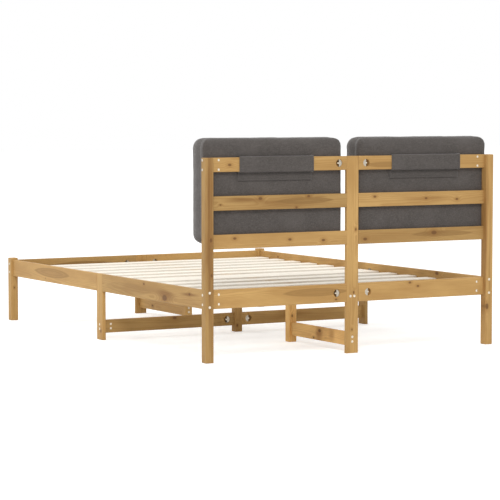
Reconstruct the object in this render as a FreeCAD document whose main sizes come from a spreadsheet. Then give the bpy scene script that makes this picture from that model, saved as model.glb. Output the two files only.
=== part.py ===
import FreeCAD
import Part
import Sketcher
import math
import os
import re
from FreeCAD import Placement, Rotation, Vector

# A knock-down pine double bed frame with two hung headboard cushions.
# Millimetres. The floor is z = 0, the bed's middle is x = y = 0,
# the headboard is at +y and the foot end at -y.

doc = FreeCAD.newDocument("BedFrame")

# Driving sizes

SIZES = {
    # The whole frame
    "bed_width": 1460,
    "bed_length": 2070,
    "head_height": 850,
    # Square posts and legs
    "post_side": 38,
    "post_round": 3,
    "foot_post_rise": 10,
    # Planed boards, used for rails, stretchers and the flat middle posts
    "board_thick": 18,
    "board_wide": 60,
    "board_round": 3,
    "rail_deep": 80,
    "rail_top": 302,
    "side_inset": 10,
    "head_rail_step": 160,
    "stretcher_bottom": 30,
    # Slats and what they lie on
    "slat_wide": 80,
    "slat_thick": 14,
    "slat_drop": 32,
    "slat_round": 2,
    "slat_margin": 30,
    "slat_middle_gap": 2,
    "slat_side_gap": 4,
    "ledger_thick": 22,
    "ledger_deep": 30,
    "ledger_gap": 2,
    "beam_gap": 1,
    # Bolts and barrel nuts
    "bolt_wide": 6,
    "bolt_fit": 1,
    "bolt_head_wide": 11,
    "bolt_head_deep": 5,
    "bolt_seat_fit": 1,
    "thread_fit": 0.1,
    "bolt_key_wide": 5,
    "bolt_key_deep": 3,
    "bolt_reach": 6,
    "post_bolt_spread": 40,
    "side_bolt_spread": 60,
    "low_bolt_spread": 20,
    "barrel_wide": 10,
    "barrel_long": 14,
    "barrel_fit": 0.4,
    "barrel_setback": 35,
    "barrel_slot_wide": 2,
    "barrel_slot_deep": 2,
    # Threaded rods in round pockets
    "rod_wide": 6,
    "rod_overhang": 2,
    "pocket_wide": 32,
    "pocket_deep": 15,
    "pocket_fit": 0.6,
    "pocket_setback": 39,
    "end_pocket_setback": 50,
    "moon_thick": 12,
    "nut_wide": 11,
    "nut_thick": 5,
    # Dowels and screws
    "dowel_wide": 8,
    "dowel_long": 30,
    "dowel_fit": 0.2,
    "board_dowel_spread": 36,
    "rail_dowel_spread": 50,
    "screw_wide": 4,
    "screw_fit": 0.2,
    "screw_head_wide": 8,
    "screw_head_deep": 3,
    "screw_long": 30,
    "ledger_screw_rise": 9,
    "ledger_screw_margin": 110,
    "leg_screw_offset": 9.5,
    # Headboard cushions and the flaps that hang them
    "cushion_tall": 440,
    "cushion_thick": 125,
    "cushion_rise": 80,
    "cushion_gap": 82,
    "cushion_side_gap": 13,
    "cushion_corner": 38,
    "cushion_crown": 130,
    "flap_wide": 360,
    "flap_thick": 3,
    "flap_gap": 0.5,
    "flap_tail": 36,
    "flap_round": 3,
}

sheet = doc.addObject("Spreadsheet::Sheet", "Sizes")
for row, (alias, value) in enumerate(SIZES.items(), start=1):
    sheet.set(f"A{row}", alias)
    sheet.set(f"B{row}", str(value))
    sheet.setAlias(f"B{row}", alias)
doc.recompute()


def sized(text):
    """Point every size named in an expression at its cell in the sheet."""
    def cell(match):
        word = match.group(0)
        return "Sizes." + word if word in SIZES else word
    return re.sub(r"[a-z_]+", cell, text)


def bind(thing, prop, text):
    """Tie one property of an object to an expression in named sizes."""
    thing.setExpression(prop, sized(text))


def bind_base(thing, place):
    """Tie an object's position to three expressions."""
    for axis, text in zip("xyz", place):
        bind(thing, "Placement.Base." + axis, text)


# Planes and faces that the pieces share

POST_OUT_X = "bed_width / 2"
POST_IN_X = "(bed_width / 2 - post_side)"
POST_MID_X = "(bed_width / 2 - post_side / 2)"
SIDE_OUT_X = "(bed_width / 2 - side_inset)"
SIDE_IN_X = "(bed_width / 2 - side_inset - board_thick)"
SIDE_MID_X = "(bed_width / 2 - side_inset - board_thick / 2)"
HEAD_REAR_Y = "bed_length / 2"
HEAD_FRONT_Y = "(bed_length / 2 - post_side)"
HEAD_MID_Y = "(bed_length / 2 - post_side + board_thick / 2)"
HEAD_BACK_Y = "(bed_length / 2 - post_side + board_thick)"
FOOT_POST_IN_Y = "(post_side - bed_length / 2)"
FOOT_IN_Y = "(side_inset + board_thick - bed_length / 2)"
FOOT_MID_Y = "(side_inset + board_thick / 2 - bed_length / 2)"
FOOT_OUT_Y = "(side_inset - bed_length / 2)"
SLAT_TOP = "(rail_top - slat_drop)"
SLAT_BOTTOM = "(rail_top - slat_drop - slat_thick)"
BEAM_BOTTOM = "(rail_top - slat_drop - slat_thick - board_thick)"
BEAM_MID = "(rail_top - slat_drop - slat_thick - board_thick / 2)"
RAIL_BOTTOM = "(rail_top - rail_deep)"
RAIL_MID = "(rail_top - rail_deep / 2)"
TOP_RAIL_MID = "(head_height - board_wide / 2)"
STRETCHER_MID = "(stretcher_bottom + board_wide / 2)"
HEAD_LEG_Y = "((bed_length / 2 - post_side) / 2)"
FOOT_LEG_Y = "((side_inset + board_thick - bed_length / 2) / 2)"
SLAT_RUN = (
    "((bed_length - post_side - side_inset - board_thick - 2 * slat_margin"
    " - 2 * slat_wide - slat_middle_gap) / 11)"
)

# Sketch plane, offset to the far face, and whether a cut from that face is reversed.
# The XZ plane looks along -y, so its offsets are negative.
FACES = {
    "+x": ("YZ_Plane", 0, 1, False),
    "-x": ("YZ_Plane", 0, 0, True),
    "+y": ("XZ_Plane", 1, -1, True),
    "-y": ("XZ_Plane", 1, 0, False),
    "+z": ("XY_Plane", 2, 1, False),
    "-z": ("XY_Plane", 2, 0, True),
}
ACROSS = {"YZ_Plane": (1, 2), "XZ_Plane": (0, 2), "XY_Plane": (0, 1)}
OUTWARD = {
    "+x": Vector(1, 0, 0),
    "-x": Vector(-1, 0, 0),
    "+y": Vector(0, 1, 0),
    "-y": Vector(0, -1, 0),
    "+z": Vector(0, 0, 1),
    "-z": Vector(0, 0, -1),
}


def origin_plane(body, role):
    """Find one of a body's own origin planes."""
    return [plane for plane in body.Origin.OriginFeatures if plane.Role == role][0]


working = doc.addObject("App::FeaturePython", "working_value")
working.addProperty("App::PropertyFloat", "Value")


def number(text):
    """Work out an expression in named sizes, for the first lines of a sketch."""
    working.setExpression("Value", sized(text))
    working.recompute()
    return working.Value


class Plank:
    """A planed length of timber: one sketch, one pad, rounded edges and its holes."""

    def __init__(self, label, along, corner, size, round_name, all_edges=False):
        self.label = label
        self.corner = corner
        self.size = size
        self.body = doc.addObject("PartDesign::Body", label)
        self.body.Label = label
        bind_base(self.body, corner)
        role = {0: "YZ_Plane", 1: "XZ_Plane", 2: "XY_Plane"}[along]
        sketch = self.sketch(role, "section")
        first, second = ACROSS[role]
        add_rectangle(sketch, size[first], size[second])
        pad = self.body.newObject("PartDesign::Pad", label + "_pad")
        pad.Profile = sketch
        pad.Reversed = along == 1
        bind(pad, "Length", size[along])
        doc.recompute()
        fillet = self.body.newObject("PartDesign::Fillet", label + "_edges")
        fillet.Base = (pad, edge_names(pad.Shape, along, all_edges))
        bind(fillet, "Radius", round_name)

    def sketch(self, role, name):
        """Start a sketch on one of the body's planes."""
        sketch = self.body.newObject("Sketcher::SketchObject", f"{self.label}_{name}")
        sketch.AttachmentSupport = [(origin_plane(self.body, role), "")]
        sketch.MapMode = "FlatFace"
        return sketch

    def drill(self, face, places, wide, deep=None):
        """Cut equal round holes from one face; a hole without a depth goes right through."""
        role, axis, side, reverse = FACES[face]
        count = len(self.body.Group)
        sketch = self.sketch(role, f"holes_{count}")
        if side:
            bind(sketch, "AttachmentOffset.Base.z", f"{side} * ({self.size[axis]})")
        first, second = ACROSS[role]
        for place in places:
            across = f"{place[0]} - ({self.corner[first]})"
            up = f"{place[1]} - ({self.corner[second]})"
            add_circle(sketch, across, up, wide)
        pocket = self.body.newObject("PartDesign::Pocket", f"{self.label}_cut_{count}")
        pocket.Profile = sketch
        pocket.Reversed = reverse
        if deep is None:
            pocket.Type = 1
        else:
            bind(pocket, "Length", deep)


def edge_names(shape, along, all_edges):
    """Name the edges that run along one axis, or all of them."""
    names = []
    for index, edge in enumerate(shape.Edges, start=1):
        run = edge.Vertexes[-1].Point - edge.Vertexes[0].Point
        if all_edges or abs(run[along]) > abs(run[along - 1]) + abs(run[along - 2]):
            names.append(f"Edge{index}")
    return names


def add_rectangle(sketch, wide, tall):
    """Draw a rectangle from the sketch's origin and tie it to its two sizes."""
    right = number(wide)
    top = number(tall)
    corners = [Vector(0, 0), Vector(right, 0), Vector(right, top), Vector(0, top)]
    for index in range(4):
        sketch.addGeometry(Part.LineSegment(corners[index], corners[(index + 1) % 4]))
    for index in range(4):
        sketch.addConstraint(Sketcher.Constraint("Coincident", index, 2, (index + 1) % 4, 1))
    for index, kind in enumerate(("Horizontal", "Vertical", "Horizontal", "Vertical")):
        sketch.addConstraint(Sketcher.Constraint(kind, index))
    sketch.addConstraint(Sketcher.Constraint("Coincident", 0, 1, -1, 1))
    name_length(sketch, Sketcher.Constraint("DistanceX", 0, 1, 0, 2, right), "wide", wide)
    name_length(sketch, Sketcher.Constraint("DistanceY", 1, 1, 1, 2, top), "tall", tall)


def add_circle(sketch, across, up, wide):
    """Draw a circle and tie its centre and diameter."""
    centre = Vector(number(across), number(up))
    index = sketch.addGeometry(Part.Circle(centre, Vector(0, 0, 1), number(wide) / 2))
    name_length(
        sketch, Sketcher.Constraint("DistanceX", -1, 1, index, 3, centre.x), f"across_{index}", across
    )
    name_length(
        sketch, Sketcher.Constraint("DistanceY", -1, 1, index, 3, centre.y), f"up_{index}", up
    )
    name_length(
        sketch, Sketcher.Constraint("Diameter", index, number(wide)), f"round_{index}", wide
    )


def name_length(sketch, constraint, name, text):
    """Add a length constraint, name it and tie it to an expression."""
    index = sketch.addConstraint(constraint)
    sketch.renameConstraint(index, name)
    sketch.setExpression("Constraints." + name, sized(text))


# Fasteners, each modelled once along +z

BOLT_BORE = "(bolt_wide + bolt_fit)"
ROD_BORE = "(rod_wide + bolt_fit)"
SCREW_BORE = "(screw_wide + screw_fit)"
SCREW_SEAT = "(screw_head_wide + screw_fit)"


def primitive(kind, name, sizes, base=None, turn=None):
    """Make a Part primitive with its sizes and position tied to the sheet."""
    solid = doc.addObject(kind, name)
    if turn is not None:
        solid.Placement = Placement(Vector(), turn)
    for prop, text in sizes.items():
        bind(solid, prop, text)
    if base is not None:
        bind_base(solid, base)
    return solid


def cut(name, base, tool):
    """Take one solid from another."""
    result = doc.addObject("Part::Cut", name)
    result.Base = base
    result.Tool = tool
    return result


def fuse(name, base, tool):
    """Join two solids of one fastener."""
    result = doc.addObject("Part::Fuse", name)
    result.Base = base
    result.Tool = tool
    return result


def make_bolt(name, length):
    """A cap-head bolt: the underside of its head at z = 0, its shank below."""
    head = primitive(
        "Part::Cylinder", name + "_head",
        {"Radius": "bolt_head_wide / 2", "Height": "bolt_head_deep"},
    )
    shank = primitive(
        "Part::Cylinder", name + "_shank", {"Radius": "bolt_wide / 2", "Height": length},
        ("0", "0", f"-({length})"),
    )
    key = primitive(
        "Part::Prism", name + "_key",
        {"Circumradius": "bolt_key_wide / 2", "Height": "bolt_key_deep"},
        ("0", "0", "bolt_head_deep - bolt_key_deep"),
    )
    return cut(name, fuse(name + "_blank", head, shank), key)


def make_barrel():
    """A barrel nut: its slotted end at z = 0, its cross hole at the board's middle."""
    barrel = primitive(
        "Part::Cylinder", "barrel_body", {"Radius": "barrel_wide / 2", "Height": "barrel_long"},
        ("0", "0", "-barrel_long"),
    )
    hole = primitive(
        "Part::Cylinder", "barrel_hole",
        {"Radius": "(bolt_wide + thread_fit) / 2", "Height": "2 * barrel_wide"},
        ("-barrel_wide", "0", "-board_thick / 2"), Rotation(Vector(0, 1, 0), 90),
    )
    slot = primitive(
        "Part::Box", "barrel_slot",
        {"Length": "barrel_wide", "Width": "barrel_slot_wide", "Height": "barrel_slot_deep"},
        ("-barrel_wide / 2", "-barrel_slot_wide / 2", "-barrel_slot_deep"),
    )
    return cut("barrel_nut", cut("barrel_drilled", barrel, hole), slot)


def make_moon():
    """A half-moon washer on the pocket's floor, its round side towards +y."""
    half = primitive(
        "Part::Cylinder", "moon_half",
        {"Radius": "(pocket_wide - pocket_fit) / 2", "Height": "moon_thick"},
    )
    half.Angle = 180
    hole = primitive(
        "Part::Cylinder", "moon_hole", {"Radius": f"{ROD_BORE} / 2", "Height": "pocket_wide"},
        ("0", "pocket_wide / 2", "pocket_deep - board_thick / 2"), Rotation(Vector(1, 0, 0), 90),
    )
    return cut("half_moon_washer", half, hole)


def make_nut():
    """A hexagon nut standing on z = 0."""
    block = primitive(
        "Part::Prism", "nut_block", {"Circumradius": "nut_wide / 2", "Height": "nut_thick"}
    )
    hole = primitive(
        "Part::Cylinder", "nut_hole",
        {"Radius": "(rod_wide + thread_fit) / 2", "Height": "nut_thick"},
    )
    return cut("rod_nut", block, hole)


def make_rod(name, length):
    """A threaded rod standing on z = 0, long enough for a nut in each pocket."""
    return primitive(
        "Part::Cylinder", name, {"Radius": "rod_wide / 2", "Height": length}
    )


def make_dowel():
    """A wooden dowel standing on z = 0."""
    return primitive(
        "Part::Cylinder", "dowel", {"Radius": "dowel_wide / 2", "Height": "dowel_long"}
    )


def make_screw():
    """A countersunk wood screw: the flat of its head at z = 0, its shank below."""
    head = primitive(
        "Part::Cone", "screw_head",
        {"Radius1": "screw_wide / 2", "Radius2": "screw_head_wide / 2", "Height": "screw_head_deep"},
        ("0", "0", "-screw_head_deep"),
    )
    shank = primitive(
        "Part::Cylinder", "screw_shank", {"Radius": "screw_wide / 2", "Height": "screw_long"},
        ("0", "0", "-screw_long"),
    )
    return fuse("wood_screw", head, shank)


LONG_BOLT = "(post_side - bolt_head_deep + barrel_setback + bolt_reach)"
SHORT_BOLT = "(board_thick - bolt_head_deep + barrel_setback + bolt_reach)"
# What each kind of rod crosses, and how far its pockets lie from there
RODS = {
    "wide": ("board_wide", "pocket_setback"),
    "narrow": ("post_side", "pocket_setback"),
    "end": ("board_wide", "end_pocket_setback"),
}


def rod_length(kind):
    """The length of a rod that has room for a nut in each of its pockets."""
    across, setback = RODS[kind]
    return f"({across} + 2 * ({setback} + nut_thick + rod_overhang))"


long_bolt = make_bolt("long_bolt", LONG_BOLT)
short_bolt = make_bolt("short_bolt", SHORT_BOLT)
barrel_nut = make_barrel()
moon = make_moon()
nut = make_nut()
rods = {kind: make_rod(kind + "_rod", rod_length(kind)) for kind in RODS}
dowel = make_dowel()
screw = make_screw()

copies = {
    "long_bolts": [],
    "short_bolts": [],
    "barrel_nuts": [],
    "threaded_rods": [],
    "half_moon_washers": [],
    "rod_nuts": [],
    "dowels": [],
    "wood_screws": [],
}


def put(group, master, place, turn):
    """Add one copy of a fastener to its group."""
    link = doc.addObject("App::Link", f"{group}_{len(copies[group]) + 1}")
    link.LinkedObject = master
    link.LinkTransform = False
    link.Placement = Placement(Vector(), turn)
    bind_base(link, place)
    copies[group].append(link)


def moved(place, direction, distance):
    """Shift a place of three expressions along a unit vector by an expression."""
    shifted = []
    for text, share in zip(place, direction):
        shifted.append(text if share == 0 else f"({text}) + {int(share)} * ({distance})")
    return tuple(shifted)


def face_place(plank, face, place):
    """The place on a plank's face in line with a given place."""
    role, axis, side, reverse = FACES[face]
    corner = plank.corner[axis]
    on_face = f"{corner} + {plank.size[axis]}" if side else corner
    return tuple(on_face if index == axis else text for index, text in enumerate(place))


def across_of(face, place):
    """The two coordinates of a place that lie in a face."""
    first, second = ACROSS[FACES[face][0]]
    return place[first], place[second]


OPPOSITE = {"+x": "-x", "-x": "+x", "+y": "-y", "-y": "+y", "+z": "-z", "-z": "+z"}


def bolt_up(post, post_face, rail, barrel_face, places, long):
    """Bolt a rail's end to a post: heads sunk in the post, barrel nuts in the rail."""
    outward = OUTWARD[post_face]
    inner = OPPOSITE[post_face]
    spots = [across_of(post_face, place) for place in places]
    post.drill(post_face, spots, "bolt_head_wide + bolt_seat_fit", "bolt_head_deep")
    post.drill(post_face, spots, BOLT_BORE)
    rail.drill(post_face, spots, BOLT_BORE, "barrel_setback + 2 * bolt_reach")
    barrels = []
    for place in places:
        seat = moved(face_place(post, post_face, place), outward, "-bolt_head_deep")
        group, master = ("long_bolts", long_bolt) if long else ("short_bolts", short_bolt)
        put(group, master, seat, Rotation(Vector(0, 0, 1), outward))
        joint = face_place(post, inner, place)
        barrel = moved(joint, outward, "-barrel_setback")
        barrel = face_place(rail, barrel_face, barrel)
        barrels.append(across_of(barrel_face, barrel))
        up = OUTWARD[barrel_face]
        turn = Rotation(outward, up.cross(outward), up, "ZXY")
        put("barrel_nuts", barrel_nut, barrel, turn)
    rail.drill(barrel_face, barrels, "barrel_wide + barrel_fit", "barrel_long")


def rod_up(post, low_face, low_rail, high_rail, pocket_face, place, kind):
    """Draw two rails to a post with one rod, a half-moon washer and a nut in each pocket."""
    setback = RODS[kind][1]
    high_face = OPPOSITE[low_face]
    up = OUTWARD[pocket_face]
    post.drill(high_face, [across_of(high_face, place)], ROD_BORE)
    for rail, face in ((low_rail, low_face), (high_rail, high_face)):
        away = OUTWARD[face]
        rail_end = OPPOSITE[face]
        rail.drill(rail_end, [across_of(rail_end, place)], ROD_BORE, setback)
        centre = moved(face_place(post, face, place), away, setback)
        on_face = face_place(rail, pocket_face, centre)
        rail.drill(pocket_face, [across_of(pocket_face, on_face)], "pocket_wide", "pocket_deep")
        floor = moved(on_face, up, "-pocket_deep")
        turn = Rotation((-away).cross(up), -away, up, "ZYX")
        put("half_moon_washers", moon, floor, turn)
        put("rod_nuts", nut, centre, Rotation(Vector(0, 0, 1), away))
    towards = OUTWARD[high_face]
    low_end = moved(place, towards, f"-{rod_length(kind)} / 2")
    put("threaded_rods", rods[kind], low_end, Rotation(Vector(0, 0, 1), towards))


def dowel_up(post, face, rail, places):
    """Peg a rail's end to a post with dowels, half in each."""
    rail_end = OPPOSITE[face]
    spots = [across_of(face, place) for place in places]
    post.drill(face, spots, "dowel_wide + dowel_fit", "dowel_long / 2")
    rail.drill(rail_end, spots, "dowel_wide + dowel_fit", "dowel_long / 2")
    for place in places:
        inner_end = moved(face_place(post, face, place), OUTWARD[face], "-dowel_long / 2")
        put("dowels", dowel, inner_end, Rotation(Vector(0, 0, 1), OUTWARD[face]))


def spread(place, axis, distance):
    """Two places, half the distance to each side of one along an axis."""
    pair = []
    for sign in ("+", "-"):
        moved_place = list(place)
        moved_place[axis] = f"{place[axis]} {sign} {distance} / 2"
        pair.append(tuple(moved_place))
    return pair


def mirrored(side, low, size):
    """The lower edge of a span on the +x side, or of its mirror on the -x side."""
    return low if side > 0 else f"-({low}) - {size}"


# Headboard posts and rails

planks = []
SIDES = (("left", 1), ("right", -1))


def add(plank):
    planks.append(plank)
    return plank


head_posts = {}
foot_posts = {}
for name, side in SIDES:
    x_low = mirrored(side, POST_IN_X, "post_side")
    head_posts[name] = add(Plank(
        f"head_post_{name}", 2, (x_low, HEAD_FRONT_Y, "0"),
        ("post_side", "post_side", "head_height"), "post_round", True,
    ))
    foot_posts[name] = add(Plank(
        f"foot_post_{name}", 2, (x_low, "-bed_length / 2", "0"),
        ("post_side", "post_side", "rail_top + foot_post_rise"), "post_round", True,
    ))

head_post_middle = add(Plank(
    "head_post_middle", 2, ("-board_wide / 2", HEAD_FRONT_Y, "0"),
    ("board_wide", "board_thick", "head_height"), "board_round",
))
foot_post_middle = add(Plank(
    "foot_post_middle", 2, ("-board_wide / 2", FOOT_OUT_Y, "0"),
    ("board_wide", "board_thick", "rail_top"), "board_round",
))

BAY = "(bed_width / 2 - post_side - board_wide / 2)"
HEAD_RAILS = {
    "top_rail": ("head_height - board_wide", "board_wide"),
    "middle_rail": ("head_height - head_rail_step - board_wide", "board_wide"),
    "lower_rail": ("head_height - 2 * head_rail_step - board_wide", "board_wide"),
    "head_end_rail": (RAIL_BOTTOM, "rail_deep"),
}
head_rails = {}
foot_rails = {}
for name, side in SIDES:
    x_low = mirrored(side, "board_wide / 2", BAY)
    for kind, (z_low, tall) in HEAD_RAILS.items():
        head_rails[kind, name] = add(Plank(
            f"{kind}_{name}", 0, (x_low, HEAD_FRONT_Y, z_low),
            (BAY, "board_thick", tall), "board_round",
        ))
    foot_rails[name] = add(Plank(
        f"foot_end_rail_{name}", 0, (x_low, FOOT_OUT_Y, RAIL_BOTTOM),
        (BAY, "board_thick", "rail_deep"), "board_round",
    ))

# Side rails, the legs between them and the ledgers that carry the slats

HEAD_SIDE_RUN = "(bed_length / 2 - post_side - board_wide / 2)"
side_rails = {}
side_legs = {}
ledgers = {}
for name, side in SIDES:
    x_low = mirrored(side, SIDE_IN_X, "board_thick")
    side_legs[name] = add(Plank(
        f"side_leg_{name}", 2, (x_low, "-board_wide / 2", "0"),
        ("board_thick", "board_wide", "rail_top"), "board_round",
    ))
    for half, y_low in (("head", "board_wide / 2"), ("foot", FOOT_POST_IN_Y)):
        side_rails[half, name] = add(Plank(
            f"side_rail_{half}_{name}", 1, (x_low, y_low, RAIL_BOTTOM),
            ("board_thick", HEAD_SIDE_RUN, "rail_deep"), "board_round",
        ))
    ledger_low = mirrored(side, f"{SIDE_IN_X} - ledger_thick", "ledger_thick")
    ledger_run = "(bed_length / 2 - post_side - ledger_gap - beam_gap / 2)"
    for half, y_low in (("head", "beam_gap / 2"), ("foot", f"{FOOT_POST_IN_Y} + ledger_gap")):
        ledgers[half, name] = add(Plank(
            f"ledger_{half}_{name}", 1, (ledger_low, y_low, f"{SLAT_BOTTOM} - ledger_deep"),
            ("ledger_thick", ledger_run, "ledger_deep"), "slat_round",
        ))

# The flat beam under the slats, its three legs and the low stretchers

beams = {
    "head": add(Plank(
        "centre_beam_head", 1, ("-board_wide / 2", "beam_gap / 2", BEAM_BOTTOM),
        ("board_wide", f"{HEAD_FRONT_Y} - beam_gap / 2", "board_thick"), "board_round",
    )),
    "foot": add(Plank(
        "centre_beam_foot", 1, ("-board_wide / 2", FOOT_IN_Y, BEAM_BOTTOM),
        ("board_wide", f"-{FOOT_IN_Y} - beam_gap / 2", "board_thick"), "board_round",
    )),
}
legs = {}
for name, y_mid in (("head", HEAD_LEG_Y), ("middle", "0"), ("foot", FOOT_LEG_Y)):
    legs[name] = add(Plank(
        f"centre_leg_{name}", 2, ("-post_side / 2", f"{y_mid} - post_side / 2", "0"),
        ("post_side", "post_side", BEAM_BOTTOM), "post_round",
    ))

CROSS_RUN = f"({SIDE_IN_X} - post_side / 2)"
cross = {}
for name, side in SIDES:
    cross[name] = add(Plank(
        f"cross_stretcher_{name}", 0,
        (mirrored(side, "post_side / 2", CROSS_RUN), "-board_thick / 2", "stretcher_bottom"),
        (CROSS_RUN, "board_thick", "board_wide"), "board_round",
    ))
long_stretchers = {
    "head": add(Plank(
        "long_stretcher_head", 1,
        ("-board_thick / 2", f"{HEAD_LEG_Y} + post_side / 2", "stretcher_bottom"),
        ("board_thick", f"{HEAD_FRONT_Y} - {HEAD_LEG_Y} - post_side / 2", "board_wide"),
        "board_round",
    )),
    "foot": add(Plank(
        "long_stretcher_foot", 1,
        ("-board_thick / 2", FOOT_IN_Y, "stretcher_bottom"),
        ("board_thick", f"{FOOT_LEG_Y} - post_side / 2 - {FOOT_IN_Y}", "board_wide"),
        "board_round",
    )),
}

# Slats: seven from the foot, six from the head, a close pair at mid length

slats = []
SLAT_LOW_X = f"slat_side_gap - {SIDE_IN_X}"
SLAT_LONG = f"2 * ({SIDE_IN_X} - slat_side_gap)"
slat_lows = []
FOOT_SLATS = 7
HEAD_SLATS = 6
for index in range(FOOT_SLATS):
    slat_lows.append(f"({FOOT_IN_Y} + slat_margin + {index} * {SLAT_RUN})")
for index in reversed(range(HEAD_SLATS)):
    slat_lows.append(f"({HEAD_FRONT_Y} - slat_margin - slat_wide - {index} * {SLAT_RUN})")
for index, y_low in enumerate(slat_lows, start=1):
    slats.append(add(Plank(
        f"slat_{index:02d}", 0, (SLAT_LOW_X, y_low, SLAT_BOTTOM),
        (SLAT_LONG, "slat_wide", "slat_thick"), "slat_round",
    )))

# Bolted, rodded and pegged joints

for name, side in SIDES:
    out_face = "+x" if side > 0 else "-x"
    in_face = OPPOSITE[out_face]
    sign = "" if side > 0 else "-"
    post = head_posts[name]
    post_in = f"{sign}{POST_IN_X}"
    for kind, z_mid in (("top_rail", TOP_RAIL_MID), ("head_end_rail", RAIL_MID)):
        place = (post_in, HEAD_MID_Y, z_mid)
        bolt_up(
            post, out_face, head_rails[kind, name], "+y",
            spread(place, 2, "post_bolt_spread"), True,
        )
    for kind, z_mid in (
        ("middle_rail", f"{TOP_RAIL_MID} - head_rail_step"),
        ("lower_rail", f"{TOP_RAIL_MID} - 2 * head_rail_step"),
    ):
        rail = head_rails[kind, name]
        dowel_up(
            post, in_face, rail,
            spread((post_in, HEAD_MID_Y, z_mid), 2, "board_dowel_spread"),
        )
        dowel_up(
            head_post_middle, out_face, rail,
            spread(("0", HEAD_MID_Y, z_mid), 2, "board_dowel_spread"),
        )
    dowel_up(
        head_post_middle, out_face, head_rails["top_rail", name],
        spread(("0", HEAD_MID_Y, TOP_RAIL_MID), 2, "board_dowel_spread"),
    )
    dowel_up(
        head_post_middle, out_face, head_rails["head_end_rail", name],
        spread(("0", HEAD_MID_Y, RAIL_MID), 2, "rail_dowel_spread"),
    )
    bolt_up(
        foot_posts[name], out_face, foot_rails[name], "-y",
        spread((post_in, FOOT_MID_Y, RAIL_MID), 2, "post_bolt_spread"), True,
    )
    dowel_up(
        foot_post_middle, out_face, foot_rails[name],
        spread(("0", FOOT_MID_Y, RAIL_MID), 2, "rail_dowel_spread"),
    )
    side_place = (f"{sign}{SIDE_MID_X}", "0", RAIL_MID)
    bolt_up(
        post, "+y", side_rails["head", name], in_face,
        spread(side_place, 2, "side_bolt_spread"), True,
    )
    bolt_up(
        foot_posts[name], "-y", side_rails["foot", name], in_face,
        spread(side_place, 2, "side_bolt_spread"), True,
    )
    rod_up(
        side_legs[name], "-y", side_rails["foot", name], side_rails["head", name],
        in_face, side_place, "wide",
    )
    for face, half in (("+y", "head"), ("-y", "foot")):
        dowel_up(
            side_legs[name], face, side_rails[half, name],
            spread(side_place, 2, "rail_dowel_spread"),
        )
    bolt_up(
        side_legs[name], out_face, cross[name], "+y",
        spread(("0", "0", STRETCHER_MID), 2, "low_bolt_spread"), False,
    )
    dowel_up(
        legs["middle"], out_face, cross[name],
        spread(("0", "0", STRETCHER_MID), 2, "board_dowel_spread"),
    )

rod_up(
    head_post_middle, "-x", head_rails["top_rail", "right"], head_rails["top_rail", "left"],
    "+y", ("0", HEAD_MID_Y, TOP_RAIL_MID), "wide",
)
rod_up(
    head_post_middle, "-x", head_rails["head_end_rail", "right"],
    head_rails["head_end_rail", "left"], "+y", ("0", HEAD_MID_Y, RAIL_MID), "end",
)
rod_up(
    foot_post_middle, "-x", foot_rails["right"], foot_rails["left"],
    "+y", ("0", FOOT_MID_Y, RAIL_MID), "end",
)
rod_up(
    legs["middle"], "-x", cross["right"], cross["left"],
    "+y", ("0", "0", STRETCHER_MID), "narrow",
)

bolt_up(
    head_post_middle, "+y", beams["head"], "-z",
    spread(("0", "0", BEAM_MID), 0, "low_bolt_spread"), False,
)
bolt_up(
    foot_post_middle, "-y", beams["foot"], "-z",
    spread(("0", "0", BEAM_MID), 0, "low_bolt_spread"), False,
)
bolt_up(
    head_post_middle, "+y", long_stretchers["head"], "-x",
    spread(("0", "0", STRETCHER_MID), 2, "low_bolt_spread"), False,
)
bolt_up(
    foot_post_middle, "-y", long_stretchers["foot"], "-x",
    spread(("0", "0", STRETCHER_MID), 2, "low_bolt_spread"), False,
)
bolt_up(
    legs["head"], "-y", long_stretchers["head"], "-x",
    spread(("0", "0", STRETCHER_MID), 2, "low_bolt_spread"), True,
)
bolt_up(
    legs["foot"], "+y", long_stretchers["foot"], "-x",
    spread(("0", "0", STRETCHER_MID), 2, "low_bolt_spread"), True,
)


def screw_down(upper, lower, face, places, far_deep):
    """Screw one plank to the next, the screw heads flush with a face of the upper one."""
    spots = [across_of(face, place) for place in places]
    upper.drill(face, spots, SCREW_SEAT, "screw_head_deep")
    upper.drill(face, spots, SCREW_BORE)
    lower.drill(face, spots, SCREW_BORE, far_deep)
    for place in places:
        seat = face_place(upper, face, place)
        put("wood_screws", screw, seat, Rotation(Vector(0, 0, 1), OUTWARD[face]))


LEDGER_MID_X = f"({SIDE_IN_X} - ledger_thick / 2)"
ledger_spots = {key: [] for key in ledgers}
for index, y_low in enumerate(slat_lows):
    # The foot group's last slat lies just past mid length, on the head ledgers
    half = "head" if index >= FOOT_SLATS - 1 else "foot"
    spots = []
    for name, side in SIDES:
        sign = "" if side > 0 else "-"
        place = (f"{sign}{LEDGER_MID_X}", f"{y_low} + slat_wide / 2", SLAT_TOP)
        spots.append(across_of("+z", place))
        ledger_spots[half, name].append(spots[-1])
        put("wood_screws", screw, place, Rotation())
    slats[index].drill("+z", spots, SCREW_SEAT, "screw_head_deep")
    slats[index].drill("+z", spots, SCREW_BORE)
for key, spots in ledger_spots.items():
    ledgers[key].drill("+z", spots, SCREW_BORE, "screw_long - slat_thick")
LEDGER_SCREW_Z = f"{SLAT_BOTTOM} - ledger_deep + ledger_screw_rise"
for (half, name), ledger in ledgers.items():
    face = "-x" if name == "left" else "+x"
    first = "ledger_screw_margin"
    step = f"(({HEAD_FRONT_Y} - 2 * ledger_screw_margin) / 3)"
    places = []
    for index in range(4):
        run = f"({first} + {index} * {step})"
        places.append(("0", run if half == "head" else f"-{run}", LEDGER_SCREW_Z))
    screw_down(ledger, side_rails[half, name], face, places, "screw_long - ledger_thick")
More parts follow.
